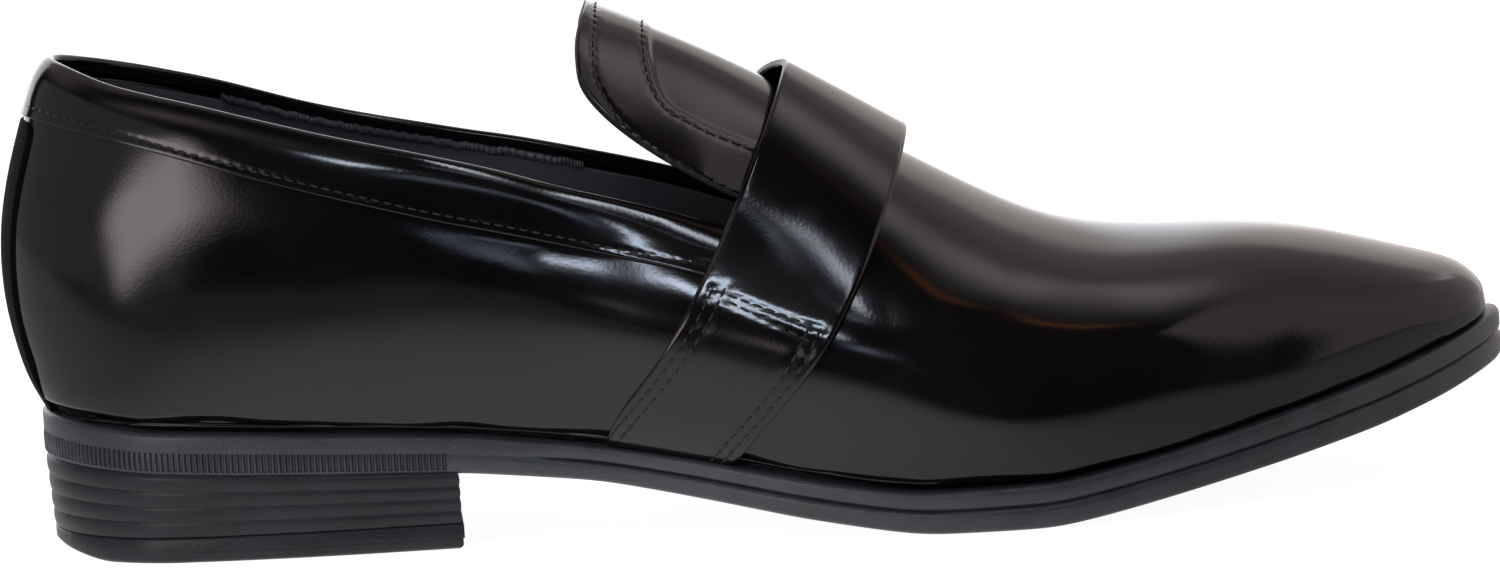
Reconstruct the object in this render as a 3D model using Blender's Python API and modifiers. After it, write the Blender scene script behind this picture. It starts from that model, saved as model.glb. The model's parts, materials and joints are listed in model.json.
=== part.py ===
"""Strap loafer for the right foot: moulded sole, stacked heel, hollow upper, tongue and strap.

Every piece is drawn on one last. The last is a family of ribs: each rib starts at a foot on the
feather edge (the line where the upper meets the sole) and climbs to the crest, the ridge over toe,
vamp and instep. All sizes are in millimetres and turn into metres when a mesh is made.

Design frame: station runs along the shoe from the back of the sole towards the toe, side is
negative on the outer (lateral) side and positive on the inner (medial) side, height is above the
floor. The part's origin is the middle of the heel tread, on the floor, with +X towards the toe.
"""

import math

import bmesh
import bpy
import numpy as np

MM = 0.001

# Driving sizes, in millimetres.
SOLE_LENGTH = 297.5
HEEL_BREAST = 85.0
BREAST_SKEW = 2.6
HEEL_CENTRE = 43.0
GAP = 0.3
WALL = 2.0
LEDGE_HEEL = 1.0
LEDGE_TOE = 2.5

# Outline of the sole from above: station, outer edge, inner edge.
SOLE_EDGE = (
    (0.0, 0.0, 0.0),
    (10.0, -21.5, 21.5),
    (22.0, -29.0, 29.0),
    (40.0, -32.5, 32.2),
    (62.0, -33.8, 32.6),
    (88.0, -33.6, 30.6),
    (112.0, -34.4, 28.6),
    (132.0, -38.4, 30.8),
    (152.0, -44.6, 37.4),
    (172.0, -49.8, 45.0),
    (192.0, -51.8, 50.2),
    (212.0, -50.0, 51.4),
    (232.0, -44.4, 48.6),
    (252.0, -36.4, 42.8),
    (270.0, -27.2, 35.4),
    (284.0, -17.2, 27.0),
    (292.5, -7.6, 18.6),
    (297.5, 6.0, 6.0),
)

# Side curve of the sole: station, underside of the outsole, top of the welt.
SOLE_CURVE = (
    (0.0, 18.7, 27.5),
    (40.0, 17.2, 25.9),
    (85.0, 15.4, 23.0),
    (113.0, 12.2, 19.4),
    (133.0, 8.0, 15.8),
    (152.0, 3.9, 12.0),
    (168.0, 1.2, 9.4),
    (176.5, 0.0, 8.5),
    (203.0, 0.0, 8.9),
    (215.0, 1.9, 10.8),
    (232.0, 5.0, 13.9),
    (252.0, 8.8, 18.1),
    (270.0, 12.6, 22.4),
    (285.0, 16.8, 26.8),
    (297.5, 21.0, 31.0),
)
OUTSOLE_SHARE = 0.54

# Side profiles of the sole layers: distance out from the outline, share of the layer's height.
OUTSOLE_PROFILE = (
    (-3.2, 0.0),
    (-1.0, 0.08),
    (0.2, 0.36),
    (0.5, 0.66),
    (0.1, 0.92),
    (-1.0, 1.0),
)
WELT_PROFILE = (
    (-1.0, 0.0),
    (-0.3, 0.1),
    (0.0, 0.4),
    (-0.4, 0.78),
    (-1.3, 1.0),
)
HEEL_RELIEF = 0.3
SOLE_POINTS = 64

# Heel: stacked block over a rubber top lift.
LIFT_HEIGHT = 5.4
LIFT_SET_IN = 1.1
LIFT_REAR_BEVEL = 3.4
LIFT_BEVEL_END = 29.0
LIFT_GROOVE_HEIGHT = 2.4
LIFT_GROOVE_DEPTH = 0.4
HEEL_LAYERS = 4
HEEL_TAPER = 0.9
LAYER_SWELL = 0.5
HEEL_POINTS = 17

# Ribs of the last, from the toe to the back of the heel. foot: station on the feather edge.
# crest_x, crest_y, crest_z: where the rib reaches the crest. along, belly, rise: how far the wall
# leaves its foot forwards, outwards and upwards. spread: how wide the rib comes over the crest, as a
# share of the way to its foot. turn: 0 over the crest, 1 where the heel closes round the back.
RIB_COLUMNS = ("foot", "crest_x", "crest_y", "crest_z", "along", "belly", "rise", "spread", "turn")
RIBS = (
    (281.0, 295.0, 6.0, 31.2, 8.0, 0.0, 0.4, 0.66, 0.0),
    (277.0, 294.8, 6.0, 35.0, 7.5, 0.8, 4.0, 0.67, 0.0),
    (271.0, 291.6, 6.0, 39.6, 7.0, 1.6, 8.5, 0.68, 0.0),
    (262.0, 284.5, 5.6, 42.5, 6.5, 2.4, 12.5, 0.68, 0.0),
    (248.0, 271.5, 5.0, 46.3, 6.0, 3.0, 16.5, 0.66, 0.0),
    (231.0, 256.0, 4.0, 50.2, 7.0, 3.4, 20.5, 0.63, 0.0),
    (212.0, 239.0, 3.0, 52.2, 9.0, 3.8, 24.0, 0.61, 0.0),
    (192.0, 222.0, 2.2, 53.1, 14.0, 4.4, 27.0, 0.60, 0.0),
    (172.0, 204.0, 1.6, 56.9, 21.0, 5.4, 29.0, 0.61, 0.0),
    (156.0, 189.0, 1.0, 64.4, 27.0, 7.0, 31.0, 0.63, 0.0),
    (140.5, 176.2, 0.6, 71.9, 34.0, 9.5, 32.5, 0.66, 0.0),
    (114.5, 152.6, 0.0, 86.5, 29.0, 14.0, 36.0, 0.74, 0.0),
    (98.0, 134.0, 0.0, 96.6, 22.0, 13.2, 38.0, 0.80, 0.0),
    (78.0, 112.0, 0.0, 106.8, 14.0, 11.6, 39.0, 0.84, 0.02),
    (52.0, 86.0, 0.0, 119.0, 6.0, 9.8, 39.5, 0.82, 0.12),
    (27.0, 63.0, 0.0, 128.0, 1.5, 9.5, 39.5, 0.76, 0.40),
    (9.0, 47.0, 0.0, 133.0, 0.0, 14.0, 38.5, 0.68, 0.78),
    (0.9, 40.0, 0.0, 134.0, 0.0, 18.5, 38.0, 0.65, 1.0),
)
STRAP_FRONT_ROW = 10
STRAP_REAR_ROW = 11

# Lines drawn on the side of the last: station, height.
TOPLINE = ((5.0, 99.3), (18.0, 95.0), (38.0, 90.8), (62.0, 84.5), (97.0, 76.4), (134.0, 65.6), (160.0, 56.0))
TONGUE_EDGE = ((113.4, 92.0), (117.4, 86.2), (121.4, 82.2), (129.0, 76.3), (136.5, 71.6), (160.0, 59.5))
TONGUE_END = ((84.0, 115.6), (91.0, 113.7), (98.0, 113.4), (106.0, 115.6))

# Upper and the pieces laid on it.
VAMP_RIBS = 24
THROAT_COLUMNS = 6
QUARTER_COLUMNS = 8
QUARTER_RIBS = 17
BAND_DROP = 10.5
BAND_THICKNESS = 1.0
BACK_STRIP_HALF = 5.0
BACK_STRIP_THICKNESS = 1.3
STRAP_THICKNESS = 1.6
STRAP_GAP = 0.5
STRAP_LIFT = 3.0
STRAP_FREE_FROM = 0.36
STRAP_FOOT = 0.012
STRAP_ROWS = 20
STRAP_ACROSS = 4
TONGUE_THICKNESS = 1.8
TONGUE_LENGTHWISE = 12
TONGUE_ACROSS = 7
INSOLE_THICKNESS = 3.0
INSOLE_SET_IN = 1.8

# Finishes: base colour, roughness.
FINISHES = {
    "polished_leather": ((0.012, 0.010, 0.010, 1.0), 0.18),
    "sole_rubber": ((0.016, 0.017, 0.018, 1.0), 0.55),
    "back_webbing": ((0.006, 0.006, 0.007, 1.0), 0.85),
    "sock_leather": ((0.010, 0.010, 0.011, 1.0), 0.5),
}


def natural_spline(knots, values):
    """A smooth curve through values at knots, with no bend at either end. Returns it as a function."""
    knots = np.asarray(knots, float)
    values = np.asarray(values, float)
    steps = np.diff(knots)
    count = len(knots)
    system = np.eye(count)
    right = np.zeros_like(values)
    for i in range(1, count - 1):
        system[i, i - 1 : i + 2] = steps[i - 1], 2 * (steps[i - 1] + steps[i]), steps[i]
        right[i] = 6 * ((values[i + 1] - values[i]) / steps[i] - (values[i] - values[i - 1]) / steps[i - 1])
    bends = np.linalg.solve(system, right)

    def curve(at):
        at = np.asarray(at, float)
        i = np.clip(np.searchsorted(knots, at) - 1, 0, count - 2)
        ahead = knots[i + 1] - at
        behind = at - knots[i]
        step = steps[i]
        if values.ndim > 1:
            ahead, behind, step = ahead[..., None], behind[..., None], step[..., None]
        return (
            (bends[i] * ahead**3 + bends[i + 1] * behind**3) / (6 * step)
            + (values[i] / step - bends[i] * step / 6) * ahead
            + (values[i + 1] / step - bends[i + 1] * step / 6) * behind
        )

    return curve


def monotone_curve(table, column):
    """A smooth curve through one column of a table that never overshoots, so a flat stretch stays flat."""
    x = np.array([row[0] for row in table], float)
    y = np.array([row[column] for row in table], float)
    step = np.diff(x)
    slope = np.diff(y) / step
    tangent = np.concatenate(([slope[0]], np.zeros(len(x) - 2), [slope[-1]]))
    for i in range(1, len(x) - 1):
        if slope[i - 1] * slope[i] > 0:
            before, after = 2 * step[i] + step[i - 1], step[i] + 2 * step[i - 1]
            tangent[i] = (before + after) / (before / slope[i - 1] + after / slope[i])

    def curve(at):
        at = np.clip(at, x[0], x[-1])
        i = np.clip(np.searchsorted(x, at) - 1, 0, len(x) - 2)
        t = (at - x[i]) / step[i]
        start = y[i] * (1 + 2 * t) * (1 - t) ** 2 + tangent[i] * step[i] * t * (1 - t) ** 2
        return start + y[i + 1] * t**2 * (3 - 2 * t) + tangent[i + 1] * step[i] * t**2 * (t - 1)

    return curve


underside = monotone_curve(SOLE_CURVE, 1)
welt_top = monotone_curve(SOLE_CURVE, 2)
topline_height = monotone_curve(TOPLINE, 1)
tongue_edge_height = monotone_curve(TONGUE_EDGE, 1)
tongue_end_station = monotone_curve(TONGUE_END, 1)


def layer_joint(station):
    """Height of the joint between outsole and welt."""
    return underside(station) + OUTSOLE_SHARE * (welt_top(station) - underside(station))


# Outline of the sole as one closed curve. Its turn runs from 0 at the back of the heel to +pi at the
# toe along the outer side, and to -pi along the inner side.


def turn_at(station):
    return np.arccos(np.clip(1 - 2 * np.asarray(station, float) / SOLE_LENGTH, -1, 1))


def outline_curve():
    outer = [(float(turn_at(station)), outside) for station, outside, _ in SOLE_EDGE]
    inner = [(-float(turn_at(station)), inside) for station, _, inside in SOLE_EDGE[1:-1]]
    rows = sorted(inner + outer)
    full = 2 * math.pi
    wrapped = [(t - full, y) for t, y in rows[-3:]] + rows + [(t + full, y) for t, y in rows[:3]]
    knots, sides = zip(*wrapped)
    return natural_spline(knots, sides)


outline_side = outline_curve()


def outline(turn, out=0.0):
    """Points of the sole's outline at these turns, moved out from it, with the forward and outward directions."""
    turn = np.asarray(turn, float)
    step = 1e-4

    def point(t):
        return np.stack((SOLE_LENGTH * (1 - np.cos(t)) / 2, outline_side(t)), axis=-1)

    tangent = point(turn + step) - point(turn - step)
    tangent /= np.linalg.norm(tangent, axis=-1, keepdims=True)
    outward = np.stack((tangent[..., 1], -tangent[..., 0]), axis=-1)
    forward = tangent * np.where(turn < 0, -1.0, 1.0)[..., None]
    return point(turn) + outward * np.asarray(out, float)[..., None], forward, outward


# The last. A place on it is (s, w): s runs from 0 at the back of the heel to the toe, positive on the
# outer side and negative on the inner one, in about millimetres, and w from 0 at the foot to 1.


def ledge(station):
    return LEDGE_HEEL + (LEDGE_TOE - LEDGE_HEEL) * station / SOLE_LENGTH


def rib_knots():
    """Where each row of the table lies along s: the mean of the steps along the feet and along the crest."""
    feet = np.array([outline(turn_at(row[0]))[0] for row in RIBS])
    crests = np.array([row[1:4] for row in RIBS])
    steps = np.linalg.norm(np.diff(feet, axis=0), axis=1) + np.linalg.norm(np.diff(crests, axis=0), axis=1)
    return np.concatenate((np.cumsum(steps[::-1])[::-1], [0.0])) / 2


def rib_curve():
    knots = rib_knots()[::-1]
    table = np.array(RIBS[::-1], float)
    table[:, 0] = turn_at(table[:, 0])
    table[0, 0] = 0.0
    mirrored = table[1:][::-1].copy()
    mirrored[:, 0] *= -1
    return knots, natural_spline(np.concatenate((-knots[1:][::-1], knots)), np.concatenate((mirrored, table)))


KNOTS, rib_values = rib_curve()
S_TOE = KNOTS[-1]
S_STRAP_FRONT = KNOTS[len(RIBS) - 1 - STRAP_FRONT_ROW]
S_STRAP_REAR = KNOTS[len(RIBS) - 1 - STRAP_REAR_ROW]
S_THROAT = (S_STRAP_FRONT + S_STRAP_REAR) / 2
S_BAND_END = S_STRAP_REAR - 0.6


def last_point(s, w):
    """Points on the outside of the last."""
    s, w = np.broadcast_arrays(np.asarray(s, float), np.asarray(w, float))
    values = dict(zip(RIB_COLUMNS, np.moveaxis(rib_values(s), -1, 0)))
    station = SOLE_LENGTH * (1 - np.cos(values["foot"])) / 2
    plan, forward, outward = outline(values["foot"], -ledge(station))
    foot = np.concatenate((plan, (welt_top(plan[..., 0]) + GAP)[..., None]), axis=-1)
    crest = np.stack((values["crest_x"], values["crest_y"], values["crest_z"]), axis=-1)
    leave = forward * values["along"][..., None] + outward * values["belly"][..., None]
    lower = foot + np.concatenate((leave, values["rise"][..., None]), axis=-1)
    way = (foot - crest) * values["spread"][..., None]
    upper = crest + way * np.stack((values["turn"], np.ones_like(w), np.zeros_like(w)), axis=-1)
    w = w[..., None]
    point = foot * (1 - w) ** 3 + lower * 3 * w * (1 - w) ** 2 + upper * 3 * w**2 * (1 - w) + crest * w**3
    point[..., 2] = np.maximum(point[..., 2], welt_top(point[..., 0]) + GAP)
    return point


def last_normal(s, w):
    """Outward directions on the last."""
    s, w = np.broadcast_arrays(np.asarray(s, float), np.asarray(w, float))
    reach = 0.4
    share = 0.004
    low, high = np.clip(w - share, 0.0, 1.0), np.clip(w + share, 0.0, 1.0)
    across = last_point(s, high) - last_point(s, low)
    along = last_point(np.minimum(s + reach, S_TOE), w) - last_point(np.maximum(s - reach, -S_TOE), w)
    normal = np.cross(along, across)
    return normal / np.linalg.norm(normal, axis=-1, keepdims=True)


def bisect(low, high, is_low):
    """The place between low and high, both arrays, where is_low stops being true."""
    for _ in range(40):
        middle = (low + high) / 2
        below = is_low(middle)
        low, high = np.where(below, middle, low), np.where(below, high, middle)
    return (low + high) / 2


def w_at_height(s, height):
    """Where the ribs at s climb through a line that gives height for station."""
    s = np.asarray(s, float)

    def below(w):
        point = last_point(s, w)
        return point[..., 2] < height(point[..., 0])

    return bisect(np.zeros_like(s), np.ones_like(s), below)


def topline_w(s):
    return w_at_height(s, topline_height)


def band_edge_w(s):
    return w_at_height(s, lambda station: topline_height(station) - BAND_DROP)


# Meshes and objects.


def new_collection(name):
    collection = bpy.data.collections.new(name)
    bpy.context.scene.collection.children.link(collection)
    return collection


def make_material(name):
    colour, roughness = FINISHES[name]
    material = bpy.data.materials.new(name)
    material.use_nodes = True
    shader = material.node_tree.nodes["Principled BSDF"]
    shader.inputs["Base Color"].default_value = colour
    shader.inputs["Roughness"].default_value = roughness
    shader.inputs["Metallic"].default_value = 0.0
    material.diffuse_color = colour
    return material


def make_object(name, points, faces, finish):
    """One object from points in the design frame, in millimetres, with its faces turned outwards."""
    mesh = bpy.data.meshes.new(name)
    shifted = (np.asarray(points, float) - (HEEL_CENTRE, 0.0, 0.0)) * MM
    mesh.from_pydata(shifted.tolist(), [], faces)
    mesh.materials.append(MATERIALS[finish])
    obj = bpy.data.objects.new(name, mesh)
    COLLECTION.objects.link(obj)
    return obj


def finish_solid(obj):
    """Turns a closed mesh's faces outwards and shades it smooth."""
    work = bmesh.new()
    work.from_mesh(obj.data)
    bmesh.ops.recalc_face_normals(work, faces=work.faces)
    work.to_mesh(obj.data)
    work.free()
    obj.data.shade_smooth()
    obj.data.set_sharp_from_angle(angle=math.radians(35))


def thicken(obj, thickness, outwards):
    """Gives a sheet, whose faces point away from the last, its thickness."""
    solidify = obj.modifiers.new("wall", "SOLIDIFY")
    solidify.thickness = thickness * MM
    solidify.offset = 1.0 if outwards else -1.0
    solidify.use_even_offset = False
    obj.data.shade_smooth()


def grid_faces(rows, columns):
    """Quads of a grid of points stored row by row."""
    return [
        (i * columns + j, (i + 1) * columns + j, (i + 1) * columns + j + 1, i * columns + j + 1)
        for i in range(rows - 1)
        for j in range(columns - 1)
    ]


def laid_on(s, w, stand_off):
    """Points of a sheet that lies stand_off above the last."""
    return last_point(s, w) + last_normal(s, w) * np.asarray(stand_off, float)[..., None]


def make_sheet(name, points, thickness, finish, outwards):
    """A leather sheet from a grid of points whose columns climb the last and whose rows run to the toe."""
    rows, columns = points.shape[:2]
    obj = make_object(name, points.reshape(-1, 3), grid_faces(rows, columns), finish)
    thicken(obj, thickness, outwards)
    return obj


def ring_solid(name, rings, finish):
    """A solid through rings of points, all starting at the back of the heel, closed by rungs across."""
    count = len(rings[0])
    points = np.concatenate(rings)
    faces = []
    for level in range(len(rings) - 1):
        base, above = level * count, (level + 1) * count
        for i in range(count):
            after = (i + 1) % count
            faces.append((base + i, base + after, above + after, above + i))
    for base in (0, (len(rings) - 1) * count):
        left, right = 1, count - 1
        faces.append((base, base + left, base + right))
        while right - left > 2:
            faces.append((base + left, base + left + 1, base + right - 1, base + right))
            left, right = left + 1, right - 1
        if right - left == 2:
            faces.append((base + left, base + left + 1, base + right))
    obj = make_object(name, points, faces, finish)
    finish_solid(obj)
    return obj


# Sole.


def sole_layer(name, profile, bottom, top):
    """One full layer of the sole, with its side profile eased where the heel's side is flat."""
    turns = 2 * math.pi * np.arange(SOLE_POINTS) / SOLE_POINTS
    turns = np.where(turns > math.pi, turns - 2 * math.pi, turns)
    station = SOLE_LENGTH * (1 - np.cos(turns)) / 2
    relief = np.interp(station, (HEEL_BREAST, HEEL_BREAST + 20.0), (HEEL_RELIEF, 1.0))
    rings = []
    for out, share in profile:
        plan = outline(turns, out * relief)[0]
        low, high = bottom(plan[:, 0]), top(plan[:, 0])
        rings.append(np.column_stack((plan, low + share * (high - low))))
    return ring_solid(name, rings, "sole_rubber")


def make_outsole():
    return sole_layer("outsole", OUTSOLE_PROFILE, underside, lambda station: layer_joint(station) - GAP / 2)


def make_welt():
    return sole_layer("welt", WELT_PROFILE, lambda station: layer_joint(station) + GAP / 2, welt_top)


def heel_ring(out, height, breast):
    """The heel's outline: round the back to the breast on both sides. height gives a height for station."""
    half = turn_at(breast) * (np.arange(HEEL_POINTS) / (HEEL_POINTS - 1)) ** 0.8
    turns = np.concatenate((half, -half[:0:-1]))
    plan = outline(turns, np.full(len(turns), out))[0]
    plan[[HEEL_POINTS - 1, HEEL_POINTS], 0] = breast, breast - BREAST_SKEW
    return np.column_stack((plan, height(plan[:, 0])))


def make_heel():
    """Stacked block: layers that swell a little between shallow grooves, tapering to the lift."""

    def level(share):
        return lambda station: LIFT_HEIGHT + GAP + share * (underside(station) - LIFT_HEIGHT - 2 * GAP)

    rings = []
    for layer in range(HEEL_LAYERS):
        for part, swell in ((0.0, 0.0), (0.22, 1.0), (0.8, 1.0)):
            share = (layer + part) / HEEL_LAYERS
            out = LAYER_SWELL * swell - LAYER_SWELL - HEEL_TAPER * (1 - share)
            rings.append(heel_ring(out, level(share), HEEL_BREAST - LAYER_SWELL * (1 - swell)))
    rings.append(heel_ring(-LAYER_SWELL, level(1.0), HEEL_BREAST - LAYER_SWELL))
    return ring_solid("heel", rings, "sole_rubber")


def make_top_lift():
    """Rubber tread of the heel: bevelled up at the back, with a fine groove along its sides."""

    def bevel(station):
        share = np.clip(1 - station / LIFT_BEVEL_END, 0.0, 1.0)
        return LIFT_REAR_BEVEL * share**1.5

    def level(height):
        return lambda station: np.maximum(height, bevel(station) * (1 - height / LIFT_HEIGHT) + height)

    rings = [heel_ring(-LIFT_SET_IN - 1.2, bevel, HEEL_BREAST - 0.8)]
    groove = (
        (0.7, 0.0),
        (LIFT_GROOVE_HEIGHT - 0.3, 0.0),
        (LIFT_GROOVE_HEIGHT, LIFT_GROOVE_DEPTH),
        (LIFT_GROOVE_HEIGHT + 0.3, 0.0),
        (LIFT_HEIGHT - 0.3, 0.0),
        (LIFT_HEIGHT, 0.4),
    )
    for height, depth in groove:
        rings.append(heel_ring(-LIFT_SET_IN - depth, level(height), HEEL_BREAST + 0.3 - depth))
    return ring_solid("top_lift", rings, "sole_rubber")


def make_insole():
    """Sock and insole board, lying on the welt inside the upper."""
    turns = 2 * math.pi * np.arange(SOLE_POINTS) / SOLE_POINTS
    turns = np.where(turns > math.pi, turns - 2 * math.pi, turns)
    station = SOLE_LENGTH * (1 - np.cos(turns)) / 2
    rings = []
    for height, out in ((GAP, -0.6), (GAP + 0.8, 0.0), (GAP + INSOLE_THICKNESS - 0.8, 0.0), (GAP + INSOLE_THICKNESS, -0.8)):
        plan = outline(turns, out - ledge(station) - WALL - INSOLE_SET_IN)[0]
        rings.append(np.column_stack((plan, welt_top(plan[:, 0]) + height)))
    return ring_solid("insole", rings, "sock_leather")


# Upper.


def quarter_samples():
    """Ribs of one quarter from the back of the heel to the throat. The band and the back strip share them."""
    spread = BACK_STRIP_HALF + (S_BAND_END - BACK_STRIP_HALF) * np.linspace(0.0, 1.0, QUARTER_RIBS) ** 1.3
    return np.concatenate(([0.0, BACK_STRIP_HALF / 2], spread, [S_THROAT]))


def vamp_columns():
    """Places along a rib of the vamp, with one of them where the topline meets the throat."""
    meet = float(topline_w(S_THROAT))
    lower = meet * np.arange(QUARTER_COLUMNS) / QUARTER_COLUMNS
    return np.concatenate((lower, np.linspace(meet, 1.0, THROAT_COLUMNS + 1)))


def make_upper():
    """Vamp and quarters as one wall: closed over the toe, slit open from the throat round the collar."""
    columns = vamp_columns()
    side = len(columns) - 1
    across = np.concatenate((columns, columns[-2::-1]))
    signs = np.concatenate((np.ones(side + 1), -np.ones(side)))
    vamp = np.linspace(S_TOE, S_THROAT, VAMP_RIBS + 1)
    points = [last_point(s * signs, across) for s in vamp]
    width = len(across)
    faces = [face[::-1] for face in grid_faces(len(vamp), width)]

    throat = VAMP_RIBS * width
    outer_end = [throat + j for j in range(QUARTER_COLUMNS + 1)]
    inner_end = [throat + width - 1 - j for j in range(QUARTER_COLUMNS + 1)]
    samples = quarter_samples()[:-1]
    ribs = np.concatenate((samples[::-1], -samples[1:]))
    heights = np.arange(QUARTER_COLUMNS + 1) / QUARTER_COLUMNS
    columns_of_ribs = [outer_end]
    count = len(vamp) * width
    for s in ribs:
        points.append(last_point(s, topline_w(s) * heights))
        columns_of_ribs.append([count + j for j in range(QUARTER_COLUMNS + 1)])
        count += QUARTER_COLUMNS + 1
    columns_of_ribs.append(inner_end)
    for here, after in zip(columns_of_ribs, columns_of_ribs[1:]):
        for j in range(QUARTER_COLUMNS):
            faces.append((here[j], here[j + 1], after[j + 1], after[j]))
    obj = make_object("upper", np.concatenate(points), faces, "polished_leather")
    thicken(obj, WALL, outwards=False)
    return obj


def make_collar_band():
    """Strip sewn round the outside of the collar, from the strap round the heel to the strap."""
    samples = quarter_samples()[:-1]
    ribs = np.concatenate((-samples[:0:-1], samples))[:, None]
    low, high = band_edge_w(ribs), topline_w(ribs)
    share = np.array((0.0, 0.5, 1.0))[None, :]
    w = low + (high - low) * share
    points = laid_on(np.broadcast_to(ribs, w.shape), w, np.full(w.shape, GAP))
    return make_sheet("collar_band", points, BAND_THICKNESS, "polished_leather", outwards=True)


def make_back_strip():
    """Webbing that covers the back seam, from the sole up to the collar band."""
    ribs = np.linspace(-BACK_STRIP_HALF, BACK_STRIP_HALF, 5)[:, None]
    high = w_at_height(ribs, lambda station: topline_height(station) - BAND_DROP - 0.5)
    share = np.linspace(0.0, 1.0, QUARTER_COLUMNS + 1)[None, :]
    w = STRAP_FOOT + (high - STRAP_FOOT) * share
    points = laid_on(np.broadcast_to(ribs, w.shape), w, np.full(w.shape, GAP))
    return make_sheet("back_strip", points, BACK_STRIP_THICKNESS, "back_webbing", outwards=True)


def make_strap():
    """Strap from the sole over the vamp to the sole, sewn down at the sides and free over the tongue."""
    half = STRAP_FOOT + (1 - STRAP_FOOT) * np.arange(STRAP_ROWS + 1) / STRAP_ROWS
    w = np.concatenate((half, half[-2::-1]))[None, :]
    signs = np.concatenate((np.ones(len(half)), -np.ones(len(half) - 1)))[None, :]
    s = np.linspace(S_STRAP_REAR, S_STRAP_FRONT, STRAP_ACROSS + 1)[:, None] * signs
    w = np.broadcast_to(w, s.shape)
    free = np.clip((w - STRAP_FREE_FROM) / (1 - STRAP_FREE_FROM), 0.0, 1.0)
    points = laid_on(s, w, STRAP_GAP + STRAP_LIFT * free**2 * (3 - 2 * free))
    return make_sheet("strap", points, STRAP_THICKNESS, "polished_leather", outwards=True)


def make_tongue():
    """Tongue on the instep, from the throat under the strap to its rounded end above the collar."""
    start = S_THROAT - 0.6

    def edge_station(s):
        return last_point(s, w_at_height(s, tongue_edge_height))[..., 0]

    corner_x = TONGUE_EDGE[0][0] + 0.8
    s_corner = float(bisect(np.array(60.0), np.array(start), lambda s: edge_station(s) < corner_x))
    along = np.linspace(0.0, 1.0, TONGUE_LENGTHWISE + 1)[:, None]
    up = np.linspace(0.0, 1.0, TONGUE_ACROSS + 1)[None, :]
    edge_s = start + (s_corner - start) * along
    edge_w = w_at_height(edge_s, tongue_edge_height)
    end_w = edge_w[-1, 0] + (1 - edge_w[-1, 0]) * up[0]

    def before_end(s):
        point = last_point(s, end_w)
        return point[:, 0] < tongue_end_station(point[:, 2])

    end_s = bisect(np.full(len(end_w), 40.0), np.full(len(end_w), start), before_end)
    crest_s = start + (end_s[-1] - start) * along
    straight = s_corner + (end_s[-1] - s_corner) * up[0]
    s = edge_s + (crest_s - edge_s) * up + (end_s - straight)[None, :] * along
    w = edge_w + (1 - edge_w) * up
    s = np.concatenate((s, -s[:, -2::-1]), axis=1)
    w = np.concatenate((w, w[:, -2::-1]), axis=1)
    return make_sheet("tongue", last_point(s, w)[::-1], TONGUE_THICKNESS, "polished_leather", outwards=False)


for old in list(bpy.data.objects):
    bpy.data.objects.remove(old)
COLLECTION = new_collection("strap_loafer")
MATERIALS = {name: make_material(name) for name in FINISHES}
make_outsole()
make_welt()
make_heel()
make_top_lift()
make_insole()
make_upper()
make_collar_band()
make_back_strip()
make_tongue()
make_strap()
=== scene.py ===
"""Black polished leather loafer with a strap over the vamp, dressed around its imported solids."""

import json
import math

import bmesh
import bpy
import numpy as np
from mathutils import Matrix, Vector
from mathutils.bvhtree import BVHTree
from mathutils.kdtree import KDTree

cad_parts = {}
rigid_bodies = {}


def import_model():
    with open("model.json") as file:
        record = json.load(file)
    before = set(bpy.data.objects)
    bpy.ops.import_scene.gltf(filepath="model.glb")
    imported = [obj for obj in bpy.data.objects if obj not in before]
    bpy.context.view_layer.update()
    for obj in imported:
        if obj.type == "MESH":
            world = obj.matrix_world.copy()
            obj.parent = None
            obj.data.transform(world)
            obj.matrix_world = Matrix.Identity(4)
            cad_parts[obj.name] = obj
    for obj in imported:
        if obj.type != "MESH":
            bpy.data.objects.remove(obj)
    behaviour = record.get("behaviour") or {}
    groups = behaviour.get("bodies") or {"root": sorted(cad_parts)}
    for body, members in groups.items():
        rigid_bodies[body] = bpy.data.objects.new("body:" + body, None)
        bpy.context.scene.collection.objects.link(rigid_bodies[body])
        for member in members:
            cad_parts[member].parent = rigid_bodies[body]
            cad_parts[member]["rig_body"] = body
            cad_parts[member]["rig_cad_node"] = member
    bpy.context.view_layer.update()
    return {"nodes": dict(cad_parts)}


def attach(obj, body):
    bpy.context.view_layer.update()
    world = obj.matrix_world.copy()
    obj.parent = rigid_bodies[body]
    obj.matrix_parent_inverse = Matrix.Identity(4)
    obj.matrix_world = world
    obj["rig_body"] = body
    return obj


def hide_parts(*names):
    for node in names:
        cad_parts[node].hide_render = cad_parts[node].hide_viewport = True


for start_object in list(bpy.data.objects):
    bpy.data.objects.remove(start_object)
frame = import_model()

# Upper: vamp and quarters in black calf leather, pulled over a last, glued to a thin lining and
# polished until it mirrors the room. The pull over the last leaves small pleats above the sole.
MM = 0.001
HEEL_CENTRE = 43.0  # mm from the back of the sole to the origin
WELT_TOP = (
    (0, 29.7), (10, 28.2), (22, 26.8), (40, 25.9), (85, 23), (113, 19.4), (133, 15.8), (152, 12),
    (168, 9.4), (176.5, 8.5), (203, 8.9), (215, 10.8), (232, 13.9), (252, 18.1), (270, 22.4),
    (285, 26.8), (297.5, 31),
)  # station from the back of the sole and height, mm
PLEAT_DEPTH = 0.14 * MM
PLEAT_REACH = 5.0 * MM
PLEAT_WAVES = (4.1, 9.3, 2.3)  # mm a radian: the pleats, the swing of their depth, finer pleats
FINE_PLEATS = 0.4  # share of the finer ones
TUCK_DEPTH = 1.3 * MM
TUCK_SLOPE = 1.6  # mm
HEM_HEIGHT = 2.3  # mm above the welt, where the leather tucks in
HEM_DROP = (1.6, 0.9)  # mm that it lies lower at the toe, share by which it sways less there
HEM_TOE = (170, 60)  # station where that starts, and over what length, mm
HEM_SWAY = (0.5, 0.4)  # mm
HEM_WAVES = (14, 5.3, 19)  # mm a radian
LOWEST_ROW = (1.5 * MM, 3.0 * MM)  # above the welt: faces that start lower and are taller are cut
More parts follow.
